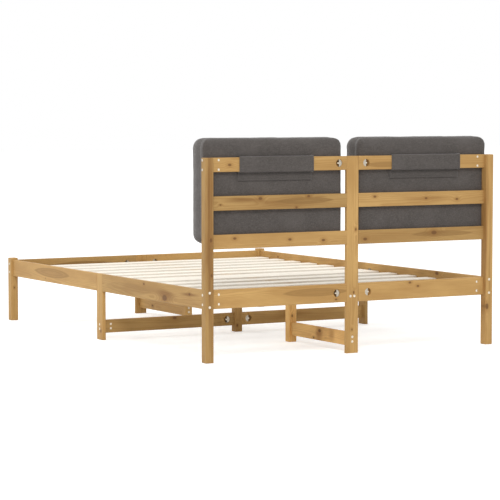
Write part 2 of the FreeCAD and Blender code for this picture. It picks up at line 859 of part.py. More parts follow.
for leg, half, y_mid in (
    ("head", "head", HEAD_LEG_Y),
    ("foot", "foot", FOOT_LEG_Y),
    ("middle", "head", "leg_screw_offset"),
    ("middle", "foot", "-leg_screw_offset"),
):
    screw_down(beams[half], legs[leg], "+z", [("0", y_mid, "0")], "screw_long - board_thick")

for label, links in copies.items():
    group = doc.addObject("Part::Compound", label)
    group.Label = label
    group.Links = links


# Cushions and flaps

def rounded_section(body, name, wide, tall, corner, offset):
    """A rounded rectangle about the body's middle, on a plane set forward of its back."""
    sketch = body.newObject("Sketcher::SketchObject", f"{body.Label}_{name}")
    sketch.AttachmentSupport = [(origin_plane(body, "XZ_Plane"), "")]
    sketch.MapMode = "FlatFace"
    bind(sketch, "AttachmentOffset.Base.z", offset)
    half_wide = number(wide) / 2
    half_tall = number(tall) / 2
    bend = number(corner)
    centres = (
        (half_wide - bend, half_tall - bend, 0),
        (bend - half_wide, half_tall - bend, 1),
        (bend - half_wide, bend - half_tall, 2),
        (half_wide - bend, bend - half_tall, 3),
    )
    arcs = []
    for across, up, turn in centres:
        circle = Part.Circle(Vector(across, up), Vector(0, 0, 1), bend)
        quarter = math.pi / 2
        arc = Part.ArcOfCircle(circle, turn * quarter, (turn + 1) * quarter)
        arcs.append(sketch.addGeometry(arc))
    for index in range(4):
        arc = sketch.Geometry[arcs[index]]
        following = sketch.Geometry[arcs[(index + 1) % 4]]
        line = sketch.addGeometry(Part.LineSegment(arc.EndPoint, following.StartPoint))
        sketch.addConstraint(Sketcher.Constraint("Tangent", arcs[index], 2, line, 1))
        sketch.addConstraint(Sketcher.Constraint("Tangent", line, 2, arcs[(index + 1) % 4], 1))
        kind = "Horizontal" if index % 2 == 0 else "Vertical"
        sketch.addConstraint(Sketcher.Constraint(kind, line))
    for index in range(1, 4):
        sketch.addConstraint(Sketcher.Constraint("Equal", arcs[0], arcs[index]))
    name_length(sketch, Sketcher.Constraint("Radius", arcs[0], bend), "corner", corner)
    first = arcs[0]
    third = arcs[2]
    for kind, arc, point, value, name_of, text in (
        ("DistanceX", first, 1, half_wide, "right", f"({wide}) / 2"),
        ("DistanceY", first, 2, half_tall, "top", f"({tall}) / 2"),
    ):
        name_length(sketch, Sketcher.Constraint(kind, -1, 1, arc, point, value), name_of, text)
    for kind, arc, point, value, name_of, text in (
        ("DistanceX", third, 1, half_wide, "left", f"({wide}) / 2"),
        ("DistanceY", third, 2, half_tall, "bottom", f"({tall}) / 2"),
    ):
        name_length(sketch, Sketcher.Constraint(kind, arc, point, -1, 1, value), name_of, text)
    return sketch


CUSHION_WIDE = "(bed_width / 2 - cushion_side_gap - cushion_gap / 2)"
CUSHION_MID_X = f"((cushion_gap + {CUSHION_WIDE}) / 2)"
# From back to front: how far forward, and how far drawn in at the sides
CUSHION_SHARES = (
    (0, 0.045),
    (0.03, 0.014),
    (0.1, 0),
    (0.4, 0),
    (0.7, 0.002),
    (0.83, 0.03),
    (0.925, 0.1),
    (0.98, 0.23),
    (1, 0.48),
)


def add_cushion(label, side):
    """A filled cushion: flat where it leans on the rails, drawn in at its sides, crowned in front."""
    body = doc.addObject("PartDesign::Body", label)
    body.Label = label
    sign = "" if side > 0 else "-"
    bind_base(body, (
        f"{sign}{CUSHION_MID_X}", f"{HEAD_FRONT_Y} - flap_gap",
        "head_height + cushion_rise - cushion_tall / 2",
    ))
    sections = []
    for index, (depth_share, draw_share) in enumerate(CUSHION_SHARES):
        draw = f"2 * {draw_share} * cushion_crown"
        sections.append(rounded_section(
            body, f"section_{index}", f"{CUSHION_WIDE} - {draw}", f"cushion_tall - {draw}",
            "cushion_corner", f"{depth_share} * cushion_thick",
        ))
    loft = body.newObject("PartDesign::AdditiveLoft", label + "_loft")
    loft.Profile = sections[0]
    loft.Sections = sections[1:]
    loft.Ruled = False
    return body


def face_edges(shape, y_value, z_value, reach):
    """Name the edges along x that pass near a point of the section."""
    names = []
    for index, edge in enumerate(shape.Edges, start=1):
        run = edge.Vertexes[-1].Point - edge.Vertexes[0].Point
        middle = edge.CenterOfMass
        along = abs(run.x) > abs(run.y) + abs(run.z)
        if along and abs(middle.y - y_value) < reach and abs(middle.z - z_value) < reach:
            names.append(f"Edge{index}")
    return names


def flap_block(body, name, corner, tall, wide, kind):
    """Pad or cut a block of the flap's width, drawn as a rectangle across x."""
    sketch = body.newObject("Sketcher::SketchObject", f"{body.Label}_{name}")
    sketch.AttachmentSupport = [(origin_plane(body, "YZ_Plane"), "")]
    sketch.MapMode = "FlatFace"
    low = Vector(number(corner[0]), number(corner[1]))
    high = low + Vector(number(wide), number(tall))
    corners = [low, Vector(high.x, low.y), high, Vector(low.x, high.y)]
    for index in range(4):
        sketch.addGeometry(Part.LineSegment(corners[index], corners[(index + 1) % 4]))
    for index in range(4):
        sketch.addConstraint(Sketcher.Constraint("Coincident", index, 2, (index + 1) % 4, 1))
    for index, way in enumerate(("Horizontal", "Vertical", "Horizontal", "Vertical")):
        sketch.addConstraint(Sketcher.Constraint(way, index))
    name_length(sketch, Sketcher.Constraint("DistanceX", 0, 1, 0, 2, high.x - low.x), "wide", wide)
    name_length(sketch, Sketcher.Constraint("DistanceY", 1, 1, 1, 2, high.y - low.y), "tall", tall)
    name_length(sketch, Sketcher.Constraint("DistanceX", -1, 1, 0, 1, low.x), "across", corner[0])
    name_length(sketch, Sketcher.Constraint("DistanceY", -1, 1, 0, 1, low.y), "up", corner[1])
    feature = body.newObject("PartDesign::" + kind, f"{body.Label}_{name}_{kind.lower()}")
    feature.Profile = sketch
    feature.Midplane = True
    bind(feature, "Length", "flap_wide")
    doc.recompute()
    return feature


def add_flap(label, side):
    """A stitched loop of cloth round the top rail, its tail laid down the cushion's back."""
    body = doc.addObject("PartDesign::Body", label)
    body.Label = label
    sign = "" if side > 0 else "-"
    bind_base(body, (f"{sign}{CUSHION_MID_X}", f"{HEAD_FRONT_Y} - flap_gap", "head_height"))
    skin = "(flap_gap + flap_thick)"
    deep = "(board_thick + 2 * flap_gap)"
    tall = f"(board_wide + 2 * {skin})"
    outer = flap_block(body, "outer", ("0", f"-board_wide - {skin}"), tall,
                       f"{deep} + flap_thick", "Pad")
    rear = number(f"{deep} + flap_thick")
    reach = number("flap_thick")
    edges = face_edges(outer.Shape, rear, number(skin), reach)
    edges += face_edges(outer.Shape, rear, number(f"-board_wide - {skin}"), reach)
    outer_round = body.newObject("PartDesign::Fillet", label + "_outer_round")
    outer_round.Base = (outer, edges)
    bind(outer_round, "Radius", "flap_round + flap_thick")
    doc.recompute()
    flap_block(
        body, "tail", ("0", f"-board_wide - {skin} - flap_tail"), "flap_tail + flap_thick",
        "flap_thick", "Pad",
    )
    inner = flap_block(
        body, "inner", ("0", "-board_wide - flap_gap"), "board_wide + 2 * flap_gap", deep, "Pocket",
    )
    inner_rear = number(deep)
    edges = face_edges(inner.Shape, inner_rear, number("flap_gap"), number("flap_gap"))
    edges += face_edges(
        inner.Shape, inner_rear, number("-board_wide - flap_gap"), number("flap_gap")
    )
    inner_round = body.newObject("PartDesign::Fillet", label + "_inner_round")
    inner_round.Base = (inner, edges)
    bind(inner_round, "Radius", "flap_round")
    return body


soft = []
for name, side in SIDES:
    soft.append(add_cushion(f"cushion_{name}", side))
    soft.append(add_flap(f"cushion_flap_{name}", side))

doc.recompute()

# Export

nodes = [plank.body for plank in planks] + soft
nodes += [doc.getObject(label) for label in copies]

os.makedirs("parts", exist_ok=True)
for node in doc.Objects:
    if "Invalid" in node.State or "Error" in node.State:
        raise RuntimeError(f"{node.Name} did not build: {node.State}")
for node in nodes:
    if not node.Shape.isValid() or not node.Shape.Solids:
        raise RuntimeError(f"{node.Label} is not a valid solid")
    node.Shape.exportStep(f"parts/{node.Label}.step")
print(len(nodes), "nodes,", sum(len(node.Shape.Solids) for node in nodes), "solids")
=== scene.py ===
"""Dresses the CAD frame of a pine double bed and its two hung headboard cushions."""

import math
import random
from collections import namedtuple
from functools import partialmethod

import bmesh
import bpy
from bpy.props import FloatProperty, FloatVectorProperty, IntProperty, PointerProperty
from mathutils import Matrix, Vector, noise


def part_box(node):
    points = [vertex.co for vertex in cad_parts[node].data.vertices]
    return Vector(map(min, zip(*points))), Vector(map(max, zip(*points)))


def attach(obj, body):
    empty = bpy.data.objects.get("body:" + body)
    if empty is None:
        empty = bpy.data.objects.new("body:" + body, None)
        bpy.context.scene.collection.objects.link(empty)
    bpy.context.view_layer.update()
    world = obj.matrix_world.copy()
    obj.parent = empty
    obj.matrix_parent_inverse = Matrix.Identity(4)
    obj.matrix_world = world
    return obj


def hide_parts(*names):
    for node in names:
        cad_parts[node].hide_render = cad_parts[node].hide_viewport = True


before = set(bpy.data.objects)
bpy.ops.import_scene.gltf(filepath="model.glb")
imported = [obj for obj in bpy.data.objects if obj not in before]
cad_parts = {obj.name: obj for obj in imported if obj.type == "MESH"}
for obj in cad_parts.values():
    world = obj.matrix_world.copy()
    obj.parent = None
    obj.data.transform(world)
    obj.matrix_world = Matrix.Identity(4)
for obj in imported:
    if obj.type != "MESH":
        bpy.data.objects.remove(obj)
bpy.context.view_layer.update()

bl_info = {
    "name": "Pine Bed Dressing",
    "version": (1, 0, 0),
    "blender": (4, 5, 0),
    "location": "3D View > Sidebar > Bed",
    "description": "Finishes a knock-down pine bed: boards, hardware, cushions, flaps and studio",
    "category": "Object",
}

SIDES = ("left", "right")
# One millimetre, in metres
MM = 0.001


# Shader building

class Shade:
    """One output socket. Its operators add Math nodes to the tree it belongs to."""

    def __init__(self, tree, socket):
        self.tree = tree
        self.socket = socket

    def math(self, operation, *others):
        """A Math node that takes this socket first, then any others."""
        inputs = dict(enumerate((self, *others)))
        return self.tree.add("ShaderNodeMath", {"operation": operation}, inputs)

    __add__ = partialmethod(math, "ADD")
    __sub__ = partialmethod(math, "SUBTRACT")
    __mul__ = partialmethod(math, "MULTIPLY")
    __truediv__ = partialmethod(math, "DIVIDE")
    __pow__ = partialmethod(math, "POWER")
    __abs__ = partialmethod(math, "ABSOLUTE")

    def __rsub__(self, other):
        return self.tree.add("ShaderNodeMath", {"operation": "SUBTRACT"}, {0: other, 1: self})

    def step(self, low, high):
        """A smooth step: 0 at low and 1 at high."""
        inputs = {"Value": self, "From Min": low, "From Max": high}
        return self.tree.add("ShaderNodeMapRange", {"interpolation_type": "SMOOTHSTEP"}, inputs)


class Tree:
    """The node tree of one material, or of the world."""

    def __init__(self, name, world=None):
        self.owner = world or bpy.data.materials.new(name)
        self.owner.use_nodes = True
        self.nodes = self.owner.node_tree.nodes
        self.links = self.owner.node_tree.links
        self.shader = self.nodes.get("Principled BSDF")

    def add(self, kind, settings=None, inputs=None, output=0):
        """Add any node: its settings first, then the values or links of its sockets."""
        node = self.nodes.new(kind)
        for name, value in (settings or {}).items():
            setattr(node, name, value)
        for key, value in (inputs or {}).items():
            self.feed(node.inputs[key], value)
        return Shade(self, node.outputs[output])

    def feed(self, socket, value):
        """Link a socket, or set its value."""
        if isinstance(value, Shade):
            self.links.new(value.socket, socket)
        else:
            socket.default_value = value

    def parts(self, vector):
        """The three parts of a vector."""
        split = self.add("ShaderNodeSeparateXYZ", inputs={0: vector})
        return [Shade(self, socket) for socket in split.socket.node.outputs]

    def place(self):
        """The three object coordinates."""
        return self.parts(self.add("ShaderNodeTexCoord", output="Object"))

    def looked_at(self):
        """1 where the camera sees a surface, straight, in a mirror or through glass."""
        rays = [
            self.add("ShaderNodeLightPath", output=f"Is {kind} Ray")
            for kind in ("Camera", "Glossy", "Transmission")
        ]
        return rays[0].math("MAXIMUM", rays[1]).math("MAXIMUM", rays[2])

    def cloud(self, x, y, z, detail=2.0, rough=0.5):
        """Soft noise from 0 to 1 at a point made of three values."""
        point = self.add("ShaderNodeCombineXYZ", inputs={0: x, 1: y, 2: z})
        inputs = {"Vector": point, "Scale": 1.0, "Detail": detail, "Roughness": rough}
        return self.add("ShaderNodeTexNoise", inputs=inputs)

    def mix(self, share, first, second):
        """Blend two colours."""
        inputs = {0: share, 6: first, 7: second}
        return self.add("ShaderNodeMix", {"data_type": "RGBA"}, inputs, 2)

    def bump(self, height, strength, distance):
        """Turn a height into a normal for the shader."""
        inputs = {"Height": height, "Strength": strength, "Distance": distance}
        self.feed(self.shader.inputs["Normal"], self.add("ShaderNodeBump", inputs=inputs))

    def surface(self, sockets):
        """Set sockets of the shader by name, and hand over the material."""
        for name, value in sockets.items():
            self.feed(self.shader.inputs[name], value)
        return self.owner


def tinted(colour, tone):
    """A colour made lighter or darker by a factor."""
    return (*(min(1.0, part * tone) for part in colour[:3]), 1.0)


def wear(mesh, material):
    """Give a mesh one material in place of any others."""
    mesh.materials.clear()
    mesh.materials.append(material)


def dress(node_name, material):
    """Give a CAD node a finished material in place of its plain one."""
    wear(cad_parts[node_name].data, material)


# Wood

# In these three tables places are in the bed's frame, and all but strength is in metres.
# Knots that can be seen: place along the grain, place across the board, radius
KNOTS = {
    "top_rail_left": ((0.605, 0.819, 0.006),),
    "middle_rail_left": (
        (0.458, 0.677, 0.008), (0.222, 0.682, 0.006), (0.649, 0.654, 0.004),
        (0.282, 0.636, 0.005),
    ),
    "lower_rail_left": ((0.581, 0.513, 0.007), (0.314, 0.501, 0.007), (0.148, 0.493, 0.007)),
    "head_post_middle": ((0.534, -0.016, 0.005), (0.262, -0.006, 0.005), (0.102, 0.002, 0.004)),
    "middle_rail_right": ((-0.113, 0.673, 0.006), (-0.381, 0.661, 0.006), (-0.546, 0.654, 0.006)),
    "lower_rail_right": ((-0.064, 0.491, 0.008), (-0.424, 0.509, 0.011)),
    "side_rail_head_left": ((0.647, 0.242, 0.016), (0.874, 0.275, 0.007), (0.45, 0.288, 0.006)),
    "cross_stretcher_left": ((0.338, 0.081, 0.008),),
    "head_post_left": ((0.364, 0.702, 0.006), (0.51, 0.705, 0.007)),
    "long_stretcher_foot": ((-0.862, 0.052, 0.007),),
    "side_leg_left": ((0.04, 0.012, 0.006),),
    "head_end_rail_left": ((0.083, 0.236, 0.005),),
    "long_stretcher_head": ((0.76, 0.074, 0.01), (0.711, 0.039, 0.005)),
    "head_end_rail_right": ((-0.298, 0.293, 0.006), (-0.34, 0.276, 0.006)),
    "side_rail_head_right": ((0.641, 0.292, 0.011),),
    "side_rail_foot_left": ((-0.598, 0.238, 0.003),),
    "head_post_right": ((0.171, -0.7, 0.01),),
}
# Darker lens shapes where the saw ran along the rings:
# place along the grain, place across the board, half length, half width, strength
FLAMES = {
    "head_end_rail_left": (0.185, 0.271, 0.17, 0.018, 1),
    "side_rail_foot_left": (-0.53, 0.269, 0.21, 0.023, 0.9),
    "side_rail_head_left": (0.29, 0.256, 0.24, 0.026, 0.35),
    "middle_rail_left": (0.24, 0.664, 0.15, 0.014, 0.9),
    "lower_rail_right": (-0.47, 0.503, 0.17, 0.013, 0.8),
    "top_rail_right": (-0.16, 0.812, 0.11, 0.012, 1),
    "foot_end_rail_left": (0.33, 0.262, 0.2, 0.02, 1),
}
# Soft dark patches of heart wood, with the same five values; the two on long_stretcher_head are
# painted shade instead, bands across the grain
PATCHES = {
    "middle_rail_left": (
        (0.54, 0.672, 0.11, 0.014, 0.85), (0.42, 0.662, 0.16, 0.012, 0.45),
        (0.3, 0.648, 0.2, 0.012, 0.35),
    ),
    "side_rail_head_left": (
        (0.66, 0.25, 0.1, 0.03, 1.0), (0.87, 0.273, 0.09, 0.008, 1.0),
        (0.5, 0.262, 0.3, 0.02, 0.3),
    ),
    # Painted shade: two soft dark bands across the board, where it lies in shade under the bed
    "long_stretcher_head": ((0.755, 0.06, 0.035, 0.05, 1.0), (0.86, 0.06, 0.03, 0.05, 0.8)),
    "head_post_left": (
        (0.62, 0.703, 0.7, 0.025, 0.75), (0.66, 0.714, 0.34, 0.006, 0.9),
        (0.3, 0.712, 0.25, 0.007, 0.6),
    ),
    "lower_rail_right": ((-0.424, 0.505, 0.09, 0.012, 0.8),),
    "cross_stretcher_left": ((0.34, 0.07, 0.12, 0.018, 0.5),),
    "cross_stretcher_right": ((-0.3, 0.06, 0.16, 0.02, 0.6),),
    "middle_rail_right": ((-0.38, 0.66, 0.14, 0.012, 0.5),),
    "head_post_right": ((0.5, -0.693, 0.6, 0.011, 0.7), (0.4, -0.715, 0.3, 0.007, 0.5)),
    "side_leg_left": ((0.16, 0.0, 0.12, 0.006, 0.4),),
}
# How light each board is against the mean; for centre_leg_head and long_stretcher_head also painted
# light against the shade under the bed, for cross_stretcher_left painted shade
BOARD_TONE_AND_LIGHT_SHARES = {
    "head_post_left": 0.8, "head_post_right": 0.99, "cross_stretcher_left": 0.77,
    "cross_stretcher_right": 0.95, "top_rail_left": 0.94, "middle_rail_left": 0.77,
    "middle_rail_right": 0.96, "lower_rail_right": 0.81, "foot_end_rail_left": 0.76,
    "side_leg_left": 1.03, "side_leg_right": 0.86, "side_rail_head_left": 0.88,
    "head_end_rail_left": 1.04, "head_end_rail_right": 1.04, "centre_leg_head": 1.7,
    "centre_leg_middle": 0.92, "long_stretcher_head": 1.4, "foot_post_left": 0.92,
    "side_rail_foot_left": 1.06,
}

# One sort of timber: its look from the panel, and how its figure and surface show
Finish = namedtuple(
    "Finish", "look knot_counts ring_strength roughness coat", defaults=(0.6, 0.0)
)
# The wood's noise: its scale along the grain and across it, per metre
WOBBLE_LONG, WOBBLE_WIDE = 4, 17
BLOTCH_LONG, BLOTCH_WIDE = 2.2, 11
STREAK_LONG, STREAK_WIDE = 6, 60
FIBRE_LONG, FIBRE_WIDE = 22, 420
SWAY_LONG = 1.7
# How far the growth rings wander and how far the pith line sways, in metres
RING_WANDER = 0.007
PITH_SWAY = 0.04
# How strongly each part of the figure tints the wood
BLOTCH_SHARE = 0.75
STREAK_SHARE = 0.4
FIBRE_SHARE = 0.16
# A knot's width against its length; in its radii, how far it bends the rings and out to where
KNOT_WIDTH_SHARE = 0.62
KNOT_PULL = 0.9
KNOT_REACH = 4.0
FLAME_LINES = 2.5
KNOT_LINES = 3.2


def random_knots(chance, finish, middle, size, order):
    """A few small knots for a board on which none can be seen."""
    return [
        (
            middle[order[0]] + chance.uniform(-0.42, 0.42) * size[order[0]],
            middle[order[1]] + chance.uniform(-0.36, 0.36) * size[order[1]],
            chance.uniform(0.003, 0.0065),
        )
        for _ in range(chance.choice(finish.knot_counts))
    ]


def timber(name, node_name, finish, seed, tone):
    """Sawn timber: rings round a pith line near the board, fibres, flames and knots."""
    look = finish.look
    chance = random.Random(seed)
    low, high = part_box(node_name)
    size = high - low
    middle = (low + high) / 2
    order = sorted(range(3), key=lambda axis: -size[axis])
    tree = Tree(name)
    place = tree.place()
    along, across, deep = (place[axis] - middle[axis] for axis in order)
    pith_across = chance.uniform(-0.55, 0.55) * size[order[1]]
    pith_deep = chance.choice((-1, 1)) * chance.uniform(0.018, 0.05)
    drift = chance.uniform(-0.022, 0.022)
    start = chance.uniform(0, 50)
    knots = KNOTS.get(node_name) or random_knots(chance, finish, middle, size, order)

    def distances(spot_along, spot_across):
        """How far a point lies from a spot, along the grain and across it."""
        return along - (spot_along - middle[order[0]]), across - (spot_across - middle[order[1]])

    wobble = tree.cloud(
        along * WOBBLE_LONG + start, across * WOBBLE_WIDE, deep * WOBBLE_WIDE, 3.0
    ) - 0.5
    sway = tree.cloud(along * SWAY_LONG, start, start, 0.0) - 0.5
    ring_across = across - pith_across + along * drift + sway * PITH_SWAY
    ring_deep = deep - pith_deep + along * (drift * 0.6)
    radius = (ring_across ** 2 + ring_deep ** 2) ** 0.5 + wobble * RING_WANDER

    eyes = []
    for knot_along, knot_across, knot_radius in knots:
        run, rise = distances(knot_along, knot_across)
        ragged = wobble * 0.5 + 1
        away = ((run * KNOT_WIDTH_SHARE) ** 2 + rise ** 2) ** 0.5 * ragged / knot_radius
        eyes.append(away)
        radius = radius + (1 - away.step(0.0, KNOT_REACH)) * (knot_radius * KNOT_PULL)
    # Late wood darkens slowly through each ring and then stops at once
    rings = (radius / look.ring_spacing).math("FRACT")
    late = rings.step(0.3, 0.88) - rings.step(0.92, 1.0)

    blotch = tree.cloud(
        along * BLOTCH_LONG, across * BLOTCH_WIDE + start, deep * BLOTCH_WIDE, 3.0, 0.55
    )
    streaks = tree.cloud(
        along * STREAK_LONG + start, across * STREAK_WIDE, deep * STREAK_WIDE, 3.0, 0.6
    )
    fibre = tree.cloud(along * FIBRE_LONG, across * FIBRE_WIDE + start, deep * FIBRE_WIDE)

    light, shade, ring = (tinted(part, tone) for part in (look.light, look.shade, look.ring))
    colour = tree.mix(blotch.step(0.36, 0.7) * BLOTCH_SHARE, light, shade)
    colour = tree.mix(streaks.step(0.46, 0.76) * STREAK_SHARE, colour, shade)
    colour = tree.mix(late * finish.ring_strength, colour, ring)
    colour = tree.mix(fibre.step(0.5, 0.85) * FIBRE_SHARE, colour, ring)
    # Heart wood patches, and the painted shade bands listed among them
    for spot_along, spot_across, half_length, half_width, strength in PATCHES.get(node_name, ()):
        run, rise = distances(spot_along, spot_across)
        spread = ((run / half_length) ** 2 + (rise / half_width + wobble * 2.4) ** 2) ** 0.5
        share = (1 - spread.step(0.1, 1.2)) * (streaks * 0.9 + 0.45) * strength
        colour = tree.mix(share, colour, tinted(look.heart, tone))
    if node_name in FLAMES:
        spot_along, spot_across, half_length, half_width, strength = FLAMES[node_name]
        run, rise = distances(spot_along, spot_across)
        lens = (run / half_length) ** 2 + abs(rise / half_width + wobble * 0.5) ** 1.4
        bands = (lens * FLAME_LINES).math("FRACT").step(0.1, 1.0)
        share = (1 - lens.step(0.88, 1.0)) * (bands * 0.3 + 0.62) * strength
        colour = tree.mix(share, colour, tinted(look.flame, tone))
    for away in eyes:
        halo = (1 - away.step(0.7, 2.6)) * (streaks * 0.5 + 0.2)
        colour = tree.mix(halo, colour, ring)
        heart = 1 - away.step(0.5, 1.0)
        growth = (away * KNOT_LINES).math("FRACT").step(0.2, 0.9)
        colour = tree.mix(heart * (growth * 0.25 + 0.72), colour, tinted(look.knot, 1))
    tree.bump(fibre * 0.5 + late * 0.5, 0.3, 0.3 * MM)
    return tree.surface({
        "Base Color": colour,
        "Roughness": fibre * 0.16 + (finish.roughness - 0.08),
        "Specular IOR Level": 0.12,
        "Coat Weight": finish.coat,
        "Coat Roughness": 0.3,
    })


# Metal

# The plate's noise, per metre: soft bloom, and scuffs that run upright
BLOOM_SCALE = 300
SCUFF_FINE, SCUFF_LONG = 2400, 500
SCUFF_HEIGHT = 0.06 * MM
THREAD_HEIGHT = 0.35 * MM
# Share of the zinc colour for the washers: painted shade for their place deep in the pockets
POCKET_SHADE_TINT = 0.64


def zinc(name, tint, rough, threads=None):
    """Zinc plate, with fine threads for a rod and painted shade in their grooves."""
    tree = Tree(name)
    x, y, z = tree.place()
    bloom = tree.cloud(x * BLOOM_SCALE, y * BLOOM_SCALE, z * BLOOM_SCALE, 3.0)
    scuff = tree.cloud(x * SCUFF_FINE, y * SCUFF_FINE, z * SCUFF_LONG)
    colour = tree.mix(bloom.step(0.3, 0.75) * 0.5, tinted(tint, 1), tinted(tint, 0.72))
    height = scuff * 0.3
    if threads:
        # Every rod runs along x or along y
        turn = ((x + y) * (math.tau / threads)).math("SINE")
        height = turn + height
        # Darker in the thread's grooves: painted shade in the hollows
        colour = tree.mix(turn.step(-0.2, -1.0) * 0.55, colour, tinted(tint, 0.3))
    tree.bump(height, 0.35, THREAD_HEIGHT if threads else SCUFF_HEIGHT)
    return tree.surface({
        "Base Color": colour,
        "Metallic": 1.0,
        "Roughness": bloom * 0.2 + (rough - 0.06),
    })


# Cloth

# The cloth's noise, per metre: slubs in the yarns up and across, soft fading, thread fuzz
SLUB_FINE = 700
SLUB_UP_LONG = 110
SLUB_ACROSS_LONG = 90
FADE_SCALE = 9
THREAD_FUZZ = 2600


def cloth(name, look, coarse):
    """Flecked plain weave that lies on every face by object coordinates alone."""
    tree = Tree(name)
    x, y, z = tree.place()
    facing = tree.parts(tree.add("ShaderNodeNewGeometry", output="Normal"))
    wave_x, wave_y, wave_z = (
        (part * (math.tau / look.thread_pitch)).math("SINE") * (1 - side ** 2)
        for part, side in zip((x, y, z), facing)
    )
    weave = wave_x * wave_z + wave_y * wave_z + wave_x * wave_y
    slub_up = tree.cloud(x * SLUB_FINE, y * SLUB_FINE, z * SLUB_UP_LONG)
    slub_across = tree.cloud(x * SLUB_ACROSS_LONG, y * SLUB_ACROSS_LONG, z * SLUB_FINE)
    fade = tree.cloud(x * FADE_SCALE, y * FADE_SCALE, z * FADE_SCALE, 3.0)
    yarn = slub_up.step(0.42, 0.72) * 0.4 + slub_across.step(0.42, 0.72) * 0.45
    colour = tree.mix(yarn, tinted(look.colour, 0.9), tinted(look.fleck, 1))
    # Darker where the weave is low: painted shade between the threads
    colour = tree.mix(weave.step(0.2, -0.7) * 0.4, colour, tinted(look.colour, 0.55))
    colour = tree.mix(fade.step(0.4, 0.75) * 0.25, colour, tinted(look.fleck, 1))
    tree.bump(weave * 0.6 + yarn * coarse, 0.5, 0.5 * MM)
    return tree.surface({
        "Base Color": colour,
        "Roughness": 0.94 - yarn * 0.06,
        "Sheen Weight": 0.35,
        "Sheen Roughness": 0.45,
        "Specular IOR Level": 0.2,
    })


def thread_finish(look):
    """Polyester sewing thread, darker than the cloth."""
    tree = Tree("sewing_thread")
    x, y, z = tree.place()
    twist = tree.cloud(x * THREAD_FUZZ, y * THREAD_FUZZ, z * THREAD_FUZZ, 1.0)
    colour = tree.mix(twist, tinted(look.colour, 0.25), tinted(look.colour, 0.5))
    tree.bump(twist, 0.4, 0.1 * MM)
    return tree.surface({"Base Color": colour, "Roughness": 0.7, "Sheen Weight": 0.2})


# Mesh building

def link_new(name, data):
    """Put a new object of some data into the scene."""
    thing = bpy.data.objects.new(name, data)
    bpy.context.scene.collection.objects.link(thing)
    return thing


def new_piece(name, mesh, material, body):
    """Link a finished mesh as a piece that rides on a body."""
    piece = link_new(name, mesh)
    wear(mesh, material)
    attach(piece, body)
    return piece


def to_mesh(work, name):
    """Turn a bmesh into a mesh, and free it."""
    mesh = bpy.data.meshes.new(name)
    work.to_mesh(mesh)
    work.free()
    return mesh


def add_copy(work, mesh, matrix):
    """Add a moved copy of a mesh to a bmesh."""
    copy = mesh.copy()
    copy.transform(matrix)
    work.from_mesh(copy)
    bpy.data.meshes.remove(copy)


def apply_modifiers(piece):
    """Replace an object's mesh by what its modifiers make of it."""
    depsgraph = bpy.context.evaluated_depsgraph_get()
    mesh = bpy.data.meshes.new_from_object(piece.evaluated_get(depsgraph))
    old = piece.data
    piece.modifiers.clear()
    piece.data = mesh
    bpy.data.meshes.remove(old)


def modify(piece, name, kind, settings):
    """Put one modifier with its settings on an object, and apply it."""
    modifier = piece.modifiers.new(name, kind)
    for key, value in settings.items():
        setattr(modifier, key, value)
    apply_modifiers(piece)


def points_box(points):
    """The low and high corners of the box round some points."""
    return tuple(Vector(end(parts) for parts in zip(*points)) for end in (min, max))


def place_key(points):
    """The middle of some points' box, rounded so that it always sorts the same."""
    low, high = points_box(points)
    return tuple(round(part, 4) for part in (low + high) / 2)


def islands(node_name):
    """The vertex positions of each separate solid of a CAD node, in a fixed order."""
    work = bmesh.new()
    work.from_mesh(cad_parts[node_name].data)
    bmesh.ops.remove_doubles(work, verts=work.verts, dist=1e-6)
    unseen = set(work.verts)
    found = []
    while unseen:
        stack = [unseen.pop()]
        group = []
        while stack:
            vertex = stack.pop()
            group.append(vertex.co.copy())
            for edge in vertex.link_edges:
                other = edge.other_vert(vertex)
                if other in unseen:
                    unseen.remove(other)
                    stack.append(other)
        found.append(group)
    work.free()
    return sorted(found, key=place_key)


# Cushions

# The cloth simulation that fills a cover
FILL_STEPS = 20
FILL_SETTINGS = {
    "quality": 5, "mass": 0.3, "tension_stiffness": 12, "compression_stiffness": 12,
    "shear_stiffness": 6, "bending_stiffness": 0.6, "use_pressure": True,
}
# The front seam: its place from front to back, and its depth against the back seam's
FRONT_SEAM_PLACE = 0.3
FRONT_SEAM_SHARE = 0.8
SEAM_HALF_WIDTH = 3 * MM
PUCKER_SCALE = 90
# Creases fade away from the edges over a distance, and rumples are everywhere
CREASE_FADE = 0.05
CREASE_SCALE, CREASE_HEIGHT = Vector((34, 9, 34)), 0.9 * MM
RUMPLE_SCALE, RUMPLE_HEIGHT = Vector((9, 12, 9)), 1.2 * MM
# How sharply the back's round deepens from the sides towards the top and bottom
ROUND_BLEND = 6
# The cover keeps this clear of the CAD box at the back and at the front
BACK_CLEAR = 0.3 * MM
FRONT_CLEAR = 0.5 * MM


def cushion_start(side, inset):
    """The cushion's solid, drawn in a little so that its filling can swell it out again."""
    low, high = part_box(f"cushion_{side}")
    middle = (low + high) / 2
    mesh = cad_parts[f"cushion_{side}"].data.copy()
    for vertex in mesh.vertices:
        for axis in (0, 2):
            half = (high[axis] - low[axis]) / 2
            offset = vertex.co[axis] - middle[axis]
            vertex.co[axis] = middle[axis] + offset * (half - inset) / half
        depth = (high.y - vertex.co.y) / (high.y - low.y)
        vertex.co.y += inset * depth
    return link_new(f"cushion_cover_{side}", mesh)


